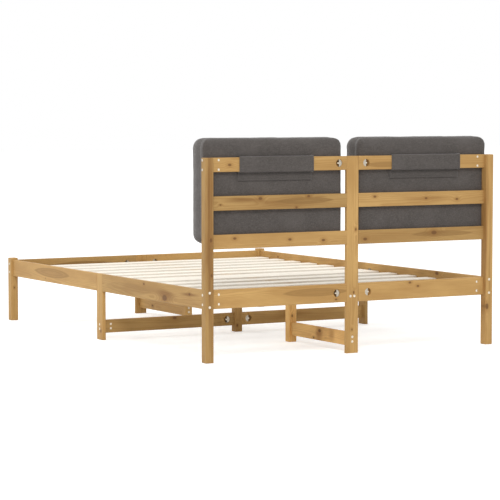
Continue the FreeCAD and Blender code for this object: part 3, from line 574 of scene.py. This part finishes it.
def fill(piece, look):
    """Swell the cover with a short cloth simulation, and scale how far it moved.

    The front swells forward, the sides draw in a little, and the back stays flat.
    """
    scene = bpy.context.scene
    rest = [vertex.co.copy() for vertex in piece.data.vertices]
    filling = piece.modifiers.new("filling", "CLOTH")
    settings = filling.settings
    for name, value in FILL_SETTINGS.items():
        setattr(settings, name, value)
    settings.uniform_pressure_force = look.pressure
    settings.effector_weights.gravity = 0
    filling.collision_settings.use_collision = False
    filling.point_cache.frame_start = 1
    filling.point_cache.frame_end = FILL_STEPS
    for step in range(1, FILL_STEPS + 1):
        scene.frame_set(step)
    apply_modifiers(piece)
    scene.frame_set(1)
    moves = [vertex.co - start for vertex, start in zip(piece.data.vertices, rest)]
    crown_share = min(1, look.crown / max(-move.y for move in moves))
    draw_share = min(1, look.draw / max(math.hypot(move.x, move.z) for move in moves))
    for vertex, start, move in zip(piece.data.vertices, rest, moves):
        forward = min(move.y, 0) * crown_share
        vertex.co = start + Vector((move.x * draw_share, forward, move.z * draw_share))


def round_back(mesh, low, high, look):
    """Round the back's edges with an oval, deeper at the top and bottom than at the sides."""
    corner = look.corner
    middle = (low + high) / 2
    straight_x = (high.x - low.x) / 2 - corner
    straight_z = (high.z - low.z) / 2 - corner
    for vertex in mesh.vertices:
        point = vertex.co
        over = Vector((abs(point.x - middle.x) - straight_x, abs(point.z - middle.z) - straight_z))
        if min(over) > 0:
            out = over.normalized()
            edge = corner - over.length
        else:
            out = Vector((1, 0)) if over.x > over.y else Vector((0, 1))
            edge = corner - max(over)
        deep = look.side_deep + (look.top_deep - look.side_deep) * out.y ** ROUND_BLEND
        inside = Vector((1 - edge / look.back_round, 1 - (high.y - point.y) / deep))
        if min(inside) > 0 and inside.length > 1:
            pull = inside * (1 - 1 / inside.length)
            shift = pull.x * look.back_round
            point.x -= math.copysign(out.x * shift, point.x - middle.x)
            point.z -= math.copysign(out.y * shift, point.z - middle.z)
            point.y -= pull.y * deep
    mesh.update()


def finish_cover(piece, side, look):
    """Fit the cover to its box, sew the seams in, crease it, and press the back flat."""
    low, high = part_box(f"cushion_{side}")
    middle = (low + high) / 2
    back_seam = high.y - look.seam_inset
    front_seam = low.y + (high.y - low.y) * FRONT_SEAM_PLACE
    mesh = piece.data
    for axis in (0, 2):
        spots = [vertex.co[axis] for vertex in mesh.vertices]
        start = min(spots)
        stretch = (high[axis] - low[axis]) / (max(spots) - start)
        for vertex in mesh.vertices:
            vertex.co[axis] = low[axis] + (vertex.co[axis] - start) * stretch
    round_back(mesh, low, high, look)
    normals = [vertex.normal.copy() for vertex in mesh.vertices]
    for vertex, normal in zip(mesh.vertices, normals):
        point = vertex.co
        edge = min(
            (high.x - low.x) / 2 - abs(point.x - middle.x),
            (high.z - low.z) / 2 - abs(point.z - middle.z),
        )
        sideways = 1 - abs(normal.y)
        for seam, depth in ((back_seam, 1.0), (front_seam, FRONT_SEAM_SHARE)):
            near = math.exp(-(((point.y - seam) / SEAM_HALF_WIDTH) ** 2))
            run = (point.x + point.z) * PUCKER_SCALE + seam * 300
            pucker = 0.75 + 0.5 * noise.noise(Vector((run, seam, 0.5)))
            point -= normal * (look.seam_depth * depth * near * pucker * min(1, sideways * 1.6))
        crease = noise.noise(point * CREASE_SCALE)
        rumple = noise.noise(point * RUMPLE_SCALE + Vector((5, 0, 0)))
        fade = math.exp(-max(edge, 0) / CREASE_FADE)
        point += normal * (crease * CREASE_HEIGHT * fade + rumple * RUMPLE_HEIGHT)
        point.y = min(max(point.y, low.y + FRONT_CLEAR), high.y - BACK_CLEAR)
    mesh.update()


def make_cushion(side, look, material):
    """One filled cushion cover in place of its plain solid."""
    piece = cushion_start(side, look.inset)
    modify(piece, "even_cloth", "REMESH", {"mode": "VOXEL", "voxel_size": look.voxel})
    fill(piece, look)
    modify(piece, "relax", "SMOOTH", {"factor": 0.5, "iterations": 2})
    finish_cover(piece, side, look)
    modify(piece, "divide", "SUBSURF", {"levels": 1})
    piece.data.shade_smooth()
    wear(piece.data, material)
    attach(piece, f"cushion_{side}")
    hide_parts(f"cushion_{side}")


# Flaps

FLAP_ROWS = 90
FLAP_COLUMNS = 91
ARC_STEPS = 6
# The loop's gap to the rail, its turns, and how much higher it lies on the rail's top
FLAP_CLEAR = 0.7 * MM
LOOP_TURN = 3 * MM
TOP_TURN = 6 * MM
TOP_LIFT = 1.5 * MM
# The relief of the outer face: hem, stitch line, rolled edge and ripples
HEM_RISE = 0.5 * MM
STITCH_SINK = 0.45 * MM
SINK_HALF_WIDTH = 1.2 * MM
ROLL_RISE = 1.6 * MM
ROLL_HALF_WIDTH = 2.6 * MM
RIPPLE_RISE = 0.8 * MM
RIPPLE_SHIFT = {"left": 3.0, "right": 8.0}
# The second row of stitches, above the hem; half a stitch: length against pitch, width, height
SECOND_ROW = 22 * MM
STITCH_SHARE, STITCH_WIDE, STITCH_HIGH = 0.42, 0.7 * MM, 0.4 * MM


def bend(points, centre, radius, start, finish):
    """Add an arc round a centre to a line of points in the y-z plane."""
    for step in range(ARC_STEPS + 1):
        angle = math.radians(start + (finish - start) * step / ARC_STEPS)
        points.append((centre[0] + radius * math.cos(angle), centre[1] + radius * math.sin(angle)))


def flap_line(side, cloth_thick):
    """The loop's middle line: over the rail, down its rear, under it and down to the tail."""
    rail_low, rail_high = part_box(f"top_rail_{side}")
    low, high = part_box(f"cushion_flap_{side}")
    off = cloth_thick / 2 + FLAP_CLEAR
    rear = rail_high.y + off
    top = rail_high.z + off + TOP_LIFT
    under = rail_low.z - off
    tail = low.y + cloth_thick / 2 + 0.2 * MM
    points = [(low.y + 0.3 * MM, top), ((rail_low.y + rail_high.y) / 2, top + 0.3 * MM)]
    bend(points, (rear - TOP_TURN, top - TOP_TURN), TOP_TURN, 90, 0)
    points.append((rear + 0.3 * MM, (top + under) / 2))
    bend(points, (rear - LOOP_TURN, under + LOOP_TURN), LOOP_TURN, 0, -90)
    bend(points, (tail + LOOP_TURN, under - LOOP_TURN), LOOP_TURN, 90, 180)
    points.append((tail, low.z + 1 * MM))
    return points


def even_line(points, count):
    """Points at even steps along a line, and the line's length."""
    runs = [0.0]
    for first, second in zip(points, points[1:]):
        runs.append(runs[-1] + math.dist(first, second))
    even = []
    for index in range(count):
        reach = runs[-1] * index / (count - 1)
        place = max(part for part in range(len(runs) - 1) if runs[part] <= reach + 1e-12)
        share = (reach - runs[place]) / (runs[place + 1] - runs[place])
        pairs = zip(points[place], points[place + 1])
        even.append(Vector(first + (second - first) * share for first, second in pairs))
    return even, runs[-1]


def line_normals(line):
    """The outward side of each point of a line in the y-z plane."""
    ways = [after - before for before, after in zip(line[:1] + line, line[1:] + line[-1:])]
    return [Vector((-way.y, way.x)).normalized() for way in ways]


def relief(side, look, x, run, edge):
    """How much the outer face is raised at a point."""
    lift = HEM_RISE if edge < look.hem else 0.0
    lift -= math.exp(-(((edge - look.hem) / SINK_HALF_WIDTH) ** 2)) * STITCH_SINK
    lift += math.exp(-((edge / ROLL_HALF_WIDTH) ** 2)) * ROLL_RISE
    ripple = noise.noise(Vector((x * 22, run * 14, RIPPLE_SHIFT[side])))
    return lift + max(ripple, 0) * RIPPLE_RISE


def flap_faces():
    """The faces of a strip of two layers, with the rims that close it."""
    rows, columns = FLAP_ROWS, FLAP_COLUMNS
    faces = []

    def at(layer, row, column):
        return (layer * rows + row) * columns + column

    def rim(first, second, far):
        quad = [at(0, *first), at(0, *second), at(1, *second), at(1, *first)]
        faces.append(quad[::-1] if far else quad)

    for row in range(rows - 1):
        for column in range(columns - 1):
            corners = ((row, column), (row, column + 1), (row + 1, column + 1), (row + 1, column))
            faces.append([at(0, *corner) for corner in corners])
            faces.append([at(1, *corner) for corner in reversed(corners)])
    for row in range(rows - 1):
        rim((row, 0), (row + 1, 0), False)
        rim((row, columns - 1), (row + 1, columns - 1), True)
    for column in range(columns - 1):
        rim((0, column), (0, column + 1), False)
        rim((rows - 1, column), (rows - 1, column + 1), True)
    return faces


def make_flap(side, look, material, thread):
    """A hemmed loop of cloth over the top rail, with its rows of stitches."""
    low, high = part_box(f"cushion_flap_{side}")
    line, length = even_line(flap_line(side, look.flap_thick), FLAP_ROWS)
    normals = line_normals(line)
    width = high.x - low.x
    vertices = []
    for layer in (1, -1):
        for index, (point, out) in enumerate(zip(line, normals)):
            run = length * index / (FLAP_ROWS - 1)
            for column in range(FLAP_COLUMNS):
                x = low.x + width * column / (FLAP_COLUMNS - 1)
                lift = look.flap_thick / 2
                if layer > 0:
                    lift += relief(side, look, x, run, min(x - low.x, high.x - x, length - run))
                spot = point + out * lift * layer
                vertices.append((x, spot.x, spot.y))
    mesh = bpy.data.meshes.new(f"flap_{side}")
    mesh.from_pydata(vertices, [], flap_faces())
    work = bmesh.new()
    work.from_mesh(mesh)
    bmesh.ops.recalc_face_normals(work, faces=work.faces)
    work.to_mesh(mesh)
    work.free()
    mesh.shade_smooth()
    piece = new_piece(f"flap_cloth_{side}", mesh, material, f"cushion_{side}")
    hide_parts(f"cushion_flap_{side}")
    make_stitches(side, look, line, normals, length, (low.x, high.x), thread)


def make_stitches(side, look, line, normals, length, span, thread):
    """Rows of lockstitch along the three hems, and one where the loop is sewn to itself."""
    low_x, high_x = span
    rise = look.flap_thick / 2 + 0.1 * MM

    def on_cloth(x, run):
        """A point on the outer face, with the directions along the loop and out of it."""
        share = run / length * (len(line) - 1)
        index = int(share)
        point = line[index].lerp(line[index + 1], share - index)
        out = normals[index]
        spot = point + out * rise
        along = (line[index + 1] - line[index]).normalized()
        return Vector((x, spot.x, spot.y)), Vector((0, along.x, along.y)), Vector((0, out.x, out.y))

    def steps(distance):
        """The middles of the stitches that fit between two hems."""
        count = int((distance - 2 * look.hem) / look.stitch)
        return [look.hem + look.stitch * (index + 0.5) for index in range(count)]

    places = []
    for run in steps(length):
        for x in (low_x + look.hem, high_x - look.hem):
            places.append(on_cloth(x, run))
    for run in (length - look.hem, length - look.hem - SECOND_ROW):
        for offset in steps(high_x - low_x):
            spot, along, out = on_cloth(low_x + offset, run)
            places.append((spot, Vector((1, 0, 0)), out))
    seed = bmesh.new()
    bmesh.ops.create_uvsphere(seed, u_segments=8, v_segments=6, radius=1)
    stitch = to_mesh(seed, "stitch")
    shape = (look.stitch * STITCH_SHARE, STITCH_WIDE, STITCH_HIGH, 1)
    work = bmesh.new()
    for spot, along, out in places:
        turn = Matrix((along, along.cross(out), out)).transposed().to_4x4()
        add_copy(work, stitch, Matrix.Translation(spot) @ turn @ Matrix.Diagonal(shape))
    bpy.data.meshes.remove(stitch)
    mesh = to_mesh(work, f"flap_stitches_{side}")
    mesh.shade_smooth()
    new_piece(f"flap_stitches_{side}", mesh, thread, f"cushion_{side}")


# Screws

SCREW_SIDES = 32
SCREW_TURNS = 9
# Against the head's width: the cross recess, and the cone under the head
RECESS_ARM = 0.27
RECESS_WIDE = 0.07
RECESS_DEEP = 0.2
HEAD_DEEP = 0.375
# How the recess narrows towards its floor, along an arm and across it
FLOOR_ARM, FLOOR_WIDE = 0.55, 0.8
# Against the screw's length: the thread's start and length, its groove, and the tip
THREAD_START = 0.7
THREAD_LONG = 0.24
GROOVE_LONG = 0.012
TIP_PLACE = 0.995
# Against the shank: how much the thread thins, its root, and the tip
THREAD_THIN = 0.35
THREAD_ROOT = 0.72
TIP_WIDE = 0.1


def neighbours(ring):
    """Each item of a ring with the one that follows it."""
    return zip(ring, ring[1:] + ring[:1])


def screw_mesh(head_wide, shank_wide, length):
    """A countersunk wood screw with a cross recess, its head's flat at z = 0."""
    work = bmesh.new()

    def circle(radius, level):
        """The vertices of one ring round the screw."""
        angles = [math.tau * index / SCREW_SIDES for index in range(SCREW_SIDES)]
        spots = [(radius * math.cos(angle), radius * math.sin(angle), level) for angle in angles]
        return [work.verts.new(spot) for spot in spots]

    rim = circle(head_wide / 2, 0)
    arm, wide = RECESS_ARM * head_wide, RECESS_WIDE * head_wide
    outline = [(arm, wide), (wide, wide), (wide, arm)]
    for _ in range(3):
        outline += [(-y, x) for x, y in outline[-3:]]
    cross = [work.verts.new((x, y, 0)) for x, y in outline]
    deep = -RECESS_DEEP * head_wide
    floor = [work.verts.new((x * FLOOR_ARM, y * FLOOR_WIDE, deep)) for x, y in outline]
    loops = [work.edges.new(pair) for ring in (rim, cross) for pair in neighbours(ring)]
    bmesh.ops.bridge_loops(work, edges=loops)
    for (first, second), (below, after) in zip(neighbours(cross), neighbours(floor)):
        work.faces.new((first, second, after, below))
    work.faces.new(floor)
    half = shank_wide / 2
    profile = [(half, -HEAD_DEEP * head_wide), (half, -THREAD_START * length)]
    for index in range(SCREW_TURNS):
        level = -THREAD_START * length + (-THREAD_LONG * length) * index / SCREW_TURNS
        slim = half * (1 - THREAD_THIN * index / SCREW_TURNS)
        profile += [(slim, level), (slim * THREAD_ROOT, level - GROOVE_LONG * length)]
    profile.append((TIP_WIDE * shank_wide, -TIP_PLACE * length))
    previous = rim
    for radius, level in profile:
        ring = circle(radius, level)
        for (first, second), (below, after) in zip(neighbours(previous), neighbours(ring)):
            work.faces.new((first, below, after, second))
        previous = ring
    work.faces.new(previous[::-1])
    bmesh.ops.recalc_face_normals(work, faces=work.faces)
    return to_mesh(work, "screw")


def make_screws(material):
    """A detailed screw in place of each plain one, turned a little at random."""
    chance = random.Random(46)
    model = None
    work = bmesh.new()
    for points in islands("wood_screws"):
        low, high = points_box(points)
        size = high - low
        middle = (low + high) / 2
        axis = max(range(3), key=lambda index: size[index])
        across = [index for index in range(3) if index != axis]
        # The widest point near each end tells the head from the tip
        reach = {low[axis]: 0.0, high[axis]: 0.0}
        for point in points:
            end = min(high[axis], low[axis], key=lambda level: abs(point[axis] - level))
            off = math.hypot(*(point[index] - middle[index] for index in across))
            reach[end] = max(reach[end], off)
        head_end = max(reach, key=reach.get)
        outward = Vector()
        outward[axis] = 1 if head_end > middle[axis] else -1
        if model is None:
            model = screw_mesh(2 * reach[head_end], 2 * min(reach.values()), size[axis])
        seat = middle.copy()
        seat[axis] = head_end
        turn = Vector((0, 0, 1)).rotation_difference(outward).to_matrix().to_4x4()
        spin = Matrix.Rotation(chance.uniform(0, math.pi / 2), 4, "Z")
        add_copy(work, model, Matrix.Translation(seat) @ turn @ spin)
    mesh = to_mesh(work, "cross_head_screws")
    bpy.data.meshes.remove(model)
    piece = new_piece("cross_head_screws", mesh, material, "frame")
    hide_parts("wood_screws")


# What a user would change

def a_colour(name, description, default):
    """A colour in the panel."""
    return FloatVectorProperty(
        name=name, description=description, subtype="COLOR", default=default, min=0, max=1
    )


def a_number(name, description, default, least=0.0, unit="NONE"):
    """A number in the panel."""
    return FloatProperty(name=name, description=description, default=default, min=least, unit=unit)


def a_length(name, description, default, least=0.0):
    """A length in the panel."""
    return a_number(name, description, default, least, "LENGTH")


class PineLook(bpy.types.PropertyGroup):
    """Lacquered pine of the boards and posts."""

    light: a_colour("Early wood", "Palest wood between the rings", (0.605, 0.377, 0.142))
    shade: a_colour("Heart wood", "Deeper patches and streaks", (0.445, 0.254, 0.088))
    ring: a_colour("Late wood", "The rings' dark lines", (0.36, 0.18, 0.055))
    flame: a_colour("Flame", "Lens shapes of flat-sawn wood", (0.34, 0.192, 0.066))
    # heart also colours the painted shade bands on long_stretcher_head
    heart: a_colour("Heart patch", "Soft dark patches", (0.29, 0.14, 0.044))
    knot: a_colour("Knot", "The heart of a knot", (0.16, 0.075, 0.03))
    ring_spacing: a_length("Ring spacing", "Distance between growth rings", 0.0042, 0.001)


class SlatLook(bpy.types.PropertyGroup):
    """Plain planed pine of the slats."""

    light: a_colour("Early wood", "Palest wood between the rings", (0.955, 0.895, 0.79))
    shade: a_colour("Heart wood", "Deeper patches and streaks", (0.94, 0.86, 0.74))
    ring: a_colour("Late wood", "The rings' dark lines", (0.84, 0.72, 0.56))
    knot: a_colour("Knot", "The heart of a knot", (0.27, 0.13, 0.06))
    ring_spacing: a_length("Ring spacing", "Distance between growth rings", 0.0052, 0.001)


class ClothLook(bpy.types.PropertyGroup):
    """Cushion covers and flaps."""

    colour: a_colour("Yarn", "Main colour of the cloth", (0.089, 0.078, 0.071))
    fleck: a_colour("Fleck", "Lighter threads in the yarn", (0.152, 0.134, 0.124))
    thread_pitch: a_length("Thread pitch", "Distance between threads", 0.0016, 0.0005)
    inset: a_length("Slack", "How much smaller the cover starts", 0.001)
    voxel: a_length("Cloth grid", "Size of the cloth's even mesh", 0.006, 0.003)
    pressure: a_number("Filling", "Pressure of the filling", 4.0)
    crown: a_length("Crown", "How far the filling pushes the front out", 0.016)
    draw: a_length("Draw", "How far the sides pull in between the corners", 0.002)
    back_round: a_length("Back round", "Width of the round along the back's edges", 0.046, 0.001)
    top_deep: a_length(
        "Top round depth", "Depth of the back's round at the top and bottom", 0.036, 0.001
    )
    side_deep: a_length("Side round depth", "Depth of the back's round at the sides", 0.012, 0.001)
    corner: a_length("Corner", "Radius of the corners, seen from behind", 0.038, 0.001)
    seam_inset: a_length("Seam place", "Seam's distance from the flat back", 0.034)
    seam_depth: a_length("Seam depth", "How far a seam pulls the cloth in", 0.0016)
    flap_thick: a_length("Flap thickness", "Two layers of cloth", 0.0016, 0.0005)
    hem: a_length("Hem", "Width of the flap's hems", 0.008, 0.002)
    stitch: a_length("Stitch", "Pitch of the stitches", 0.0045, 0.001)


class MetalLook(bpy.types.PropertyGroup):
    """Zinc-plated hardware."""

    zinc: a_colour("Zinc", "Colour of the plate", (0.84, 0.77, 0.64))
    thread_pitch: a_length("Thread pitch", "Pitch of the rods' threads", 0.001, 0.0002)


class StudioLook(bpy.types.PropertyGroup):
    """Floor, lights and camera."""

    floor: a_colour("Floor", "Colour of the floor", (0.86, 0.86, 0.86))
    floor_glow: a_number("Floor brightness", "Added to the floor as the camera sees it", 0.42)
    sky: a_number("Soft light", "Strength of the light from all round", 0.7)
    key: a_number("Key light", "Power of the lamp behind the headboard", 345.0, unit="POWER")
    fill: a_number("Fill light", "Power of the lamp above the foot end", 130.0, unit="POWER")
    lens: a_number("Lens", "Focal length on a 36 mm sensor, in millimetres", 147.97, 1.0)
    seed: IntProperty(
        name="Timber seed", description="Changes every board's grain", default=11, min=0,
    )


# One operator for each group of pieces

BOARD_SEED_STEP, SLAT_SEED_STEP = 1000, 2000
TONE_SEED_SHIFT = 500


class BED_OT_boards(bpy.types.Operator):
    """Give every post, rail, ledger, beam, leg and stretcher its own sawn pine"""

    bl_idname = "bed.boards"
    bl_label = "Boards"

    def execute(self, context):
        scene = context.scene
        pine = Finish(
            scene.bed_pine, knot_counts=(0, 1, 1, 2), ring_strength=0.34, roughness=0.46, coat=0.03
        )
        kinds = ("post", "rail", "leg", "ledger", "beam", "stretcher")
        names = sorted(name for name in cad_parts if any(kind in name for kind in kinds))
        for index, name in enumerate(names):
            seed = scene.bed_studio.seed * BOARD_SEED_STEP + index
            chance = random.Random(seed + TONE_SEED_SHIFT)
            # For a few boards this share also holds painted light or painted shade
            tone = BOARD_TONE_AND_LIGHT_SHARES.get(name, chance.uniform(0.95, 1.03))
            dress(name, timber(f"pine_{name}", name, pine, seed, tone))
        return {"FINISHED"}


class BED_OT_slats(bpy.types.Operator):
    """Give every slat pale planed pine, and the dowels plain beech"""

    bl_idname = "bed.slats"
    bl_label = "Slats and dowels"

    def execute(self, context):
        scene = context.scene
        pale = Finish(scene.bed_slats, knot_counts=(0, 0, 1), ring_strength=0.13)
        names = sorted(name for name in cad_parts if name.startswith("slat_"))
        for index, name in enumerate(names):
            seed = scene.bed_studio.seed * SLAT_SEED_STEP + index
            tone = random.Random(seed).uniform(0.97, 1.02)
            dress(name, timber(f"pale_pine_{name}", name, pale, seed, tone))
        beech = Finish(scene.bed_slats, knot_counts=(0,), ring_strength=0.2)
        dress("dowels", timber("beech_dowels", "dowels", beech, seed=7, tone=0.8))
        return {"FINISHED"}


class BED_OT_hardware(bpy.types.Operator):
    """Plate the bolts, nuts, rods and washers, and model the screws"""

    bl_idname = "bed.hardware"
    bl_label = "Hardware"

    def execute(self, context):
        look = context.scene.bed_metal
        bright = zinc("zinc_plate", look.zinc, rough=0.3)
        for name in ("long_bolts", "short_bolts", "barrel_nuts", "rod_nuts"):
            dress(name, bright)
        # Darker zinc on the washers is painted shade, as they sit deep in their pockets; the higher
        # roughness is their own
        dull_and_shaded = zinc("dull_zinc_plate", [part * POCKET_SHADE_TINT for part in look.zinc], rough=0.42)
        dress("half_moon_washers", dull_and_shaded)
        threaded = zinc("zinc_thread", look.zinc, rough=0.34, threads=look.thread_pitch)
        dress("threaded_rods", threaded)
        make_screws(bright)
        return {"FINISHED"}


class BED_OT_cushions(bpy.types.Operator):
    """Fill and sew the two headboard cushions"""

    bl_idname = "bed.cushions"
    bl_label = "Cushions"

    def execute(self, context):
        look = context.scene.bed_cloth
        cover = cloth("cushion_cloth", look, coarse=0.5)
        for side in SIDES:
            make_cushion(side, look, cover)
        return {"FINISHED"}


class BED_OT_flaps(bpy.types.Operator):
    """Hem and stitch the two loops that hang the cushions on the top rail"""

    bl_idname = "bed.flaps"
    bl_label = "Flaps"

    def execute(self, context):
        look = context.scene.bed_cloth
        strap = cloth("flap_cloth", look, coarse=0.35)
        thread = thread_finish(look)
        for side in SIDES:
            make_flap(side, look, strap, thread)
        return {"FINISHED"}


class BED_OT_studio(bpy.types.Operator):
    """Lay the floor, light the bed softly and set the camera behind the headboard"""

    bl_idname = "bed.studio"
    bl_label = "Studio"

    def execute(self, context):
        look = context.scene.bed_studio
        make_floor(look)
        make_world(look)
        make_lamps(look)
        make_camera(look)
        context.scene.view_settings.view_transform = "Standard"
        return {"FINISHED"}


# The floor reaches this far each way, and lies a little under the feet
FLOOR_REACH = 40
FLOOR_DROP = 0.5 * MM
# Each lamp: its place, the side of its square, and its power's name in the panel
LAMPS = {
    "key_lamp": ((4.5, 7.6, 6.5), 2.5, "key"),
    "fill_lamp": ((2.5, -4.5, 6.5), 3.0, "fill"),
}
LAMP_AIM = (0, 0, 0.3)
# The camera, fitted to the photograph: its place, and its angles in radians
CAMERA_PLACE = (4.7574, 8.455, 1.041)
CAMERA_YAW = -0.5189
CAMERA_PITCH = 0.0674
SENSOR_WIDTH = 36
CLIP_END = 200


def make_floor(look):
    """A large pale floor with a faint unevenness."""
    mesh = bpy.data.meshes.new("studio_floor")
    corners = ((-1, -1), (1, -1), (1, 1), (-1, 1))
    mesh.from_pydata(
        [(x * FLOOR_REACH, y * FLOOR_REACH, 0) for x, y in corners], [], [(0, 1, 2, 3)]
    )
    tree = Tree("studio_floor")
    x, y, z = tree.place()
    haze = tree.cloud(x * 3, y * 3, z)
    glow = (look.floor_glow, look.floor_glow, look.floor_glow, 1)
    material = tree.surface({
        "Base Color": tree.mix(haze * 0.3, tinted(look.floor, 1), tinted(look.floor, 1.02)),
        "Roughness": haze * 0.05 + 0.85,
        "Specular IOR Level": 0.1,
        "Emission Color": tree.mix(tree.looked_at(), (0, 0, 0, 1), glow),
        "Emission Strength": 1.0,
    })
    floor = link_new("studio_floor", mesh)
    wear(mesh, material)
    floor.location.z = -FLOOR_DROP


def make_world(look):
    """White light from all round, stronger from above, and plain white behind the bed."""
    world = bpy.data.worlds.new("studio_world")
    bpy.context.scene.world = world
    tree = Tree("studio_world", world)
    towards = tree.add("ShaderNodeTexCoord", output="Generated")
    height = tree.add("ShaderNodeSeparateXYZ", inputs={0: towards}, output="Z")
    sky = (height.step(-0.2, 0.9) * 0.85 + 0.5) * look.sky
    lights = [
        tree.add("ShaderNodeBackground", inputs={"Color": (1, 1, 1, 1), "Strength": strength})
        for strength in (sky, 1.0)
    ]
    inputs = {0: tree.looked_at(), 1: lights[0], 2: lights[1]}
    chosen = tree.add("ShaderNodeMixShader", inputs=inputs)
    tree.feed(tree.nodes["World Output"].inputs["Surface"], chosen)


def aim(thing, towards):
    """Turn a lamp or the camera to look along a direction."""
    thing.rotation_euler = towards.to_track_quat("-Z", "Y").to_euler()


def make_lamps(look):
    """Two large soft lamps: one high above the camera, one above the foot end."""
    for name, (place, side, power) in LAMPS.items():
        data = bpy.data.lights.new(name, "AREA")
        data.shape = "SQUARE"
        data.size = side
        data.energy = getattr(look, power)
        lamp = link_new(name, data)
        lamp.location = place
        aim(lamp, Vector(LAMP_AIM) - Vector(place))


def make_camera(look):
    """A long lens behind the headboard, a little above it and looking slightly down."""
    data = bpy.data.cameras.new("photo_camera")
    data.lens = look.lens
    data.sensor_width = SENSOR_WIDTH
    data.clip_end = CLIP_END
    camera = link_new("photo_camera", data)
    camera.location = CAMERA_PLACE
    level = math.cos(CAMERA_PITCH)
    aim(camera, Vector((
        math.sin(CAMERA_YAW) * level, -math.cos(CAMERA_YAW) * level, -math.sin(CAMERA_PITCH)
    )))
    bpy.context.scene.camera = camera


class BED_PT_dressing(bpy.types.Panel):
    """Lists the bed's pieces and the looks that can be changed"""

    bl_label = "Bed"
    bl_idname = "BED_PT_dressing"
    bl_space_type = "VIEW_3D"
    bl_region_type = "UI"
    bl_category = "Bed"

    def draw(self, context):
        layout = self.layout
        for operator in OPERATORS:
            layout.operator(operator.bl_idname)
        for name in LOOKS:
            box = layout.box()
            look = getattr(context.scene, name)
            box.label(text=name.replace("_", " "))
            for prop in look.bl_rna.properties:
                if prop.identifier not in ("rna_type", "name"):
                    box.prop(look, prop.identifier)


OPERATORS = (
    BED_OT_boards, BED_OT_slats, BED_OT_hardware, BED_OT_cushions, BED_OT_flaps, BED_OT_studio,
)
LOOKS = {
    "bed_pine": PineLook,
    "bed_slats": SlatLook,
    "bed_cloth": ClothLook,
    "bed_metal": MetalLook,
    "bed_studio": StudioLook,
}


def register():
    for name, look in LOOKS.items():
        bpy.utils.register_class(look)
        setattr(bpy.types.Scene, name, PointerProperty(type=look))
    for kind in (*OPERATORS, BED_PT_dressing):
        bpy.utils.register_class(kind)


def unregister():
    for kind in (BED_PT_dressing, *reversed(OPERATORS)):
        bpy.utils.unregister_class(kind)
    for name, look in LOOKS.items():
        delattr(bpy.types.Scene, name)
        bpy.utils.unregister_class(look)


def main():
    """Build every piece in order."""
    register()
    bpy.ops.bed.boards()
    bpy.ops.bed.slats()
    bpy.ops.bed.hardware()
    bpy.ops.bed.cushions()
    bpy.ops.bed.flaps()
    bpy.ops.bed.studio()


if __name__ == "__main__":
    main()
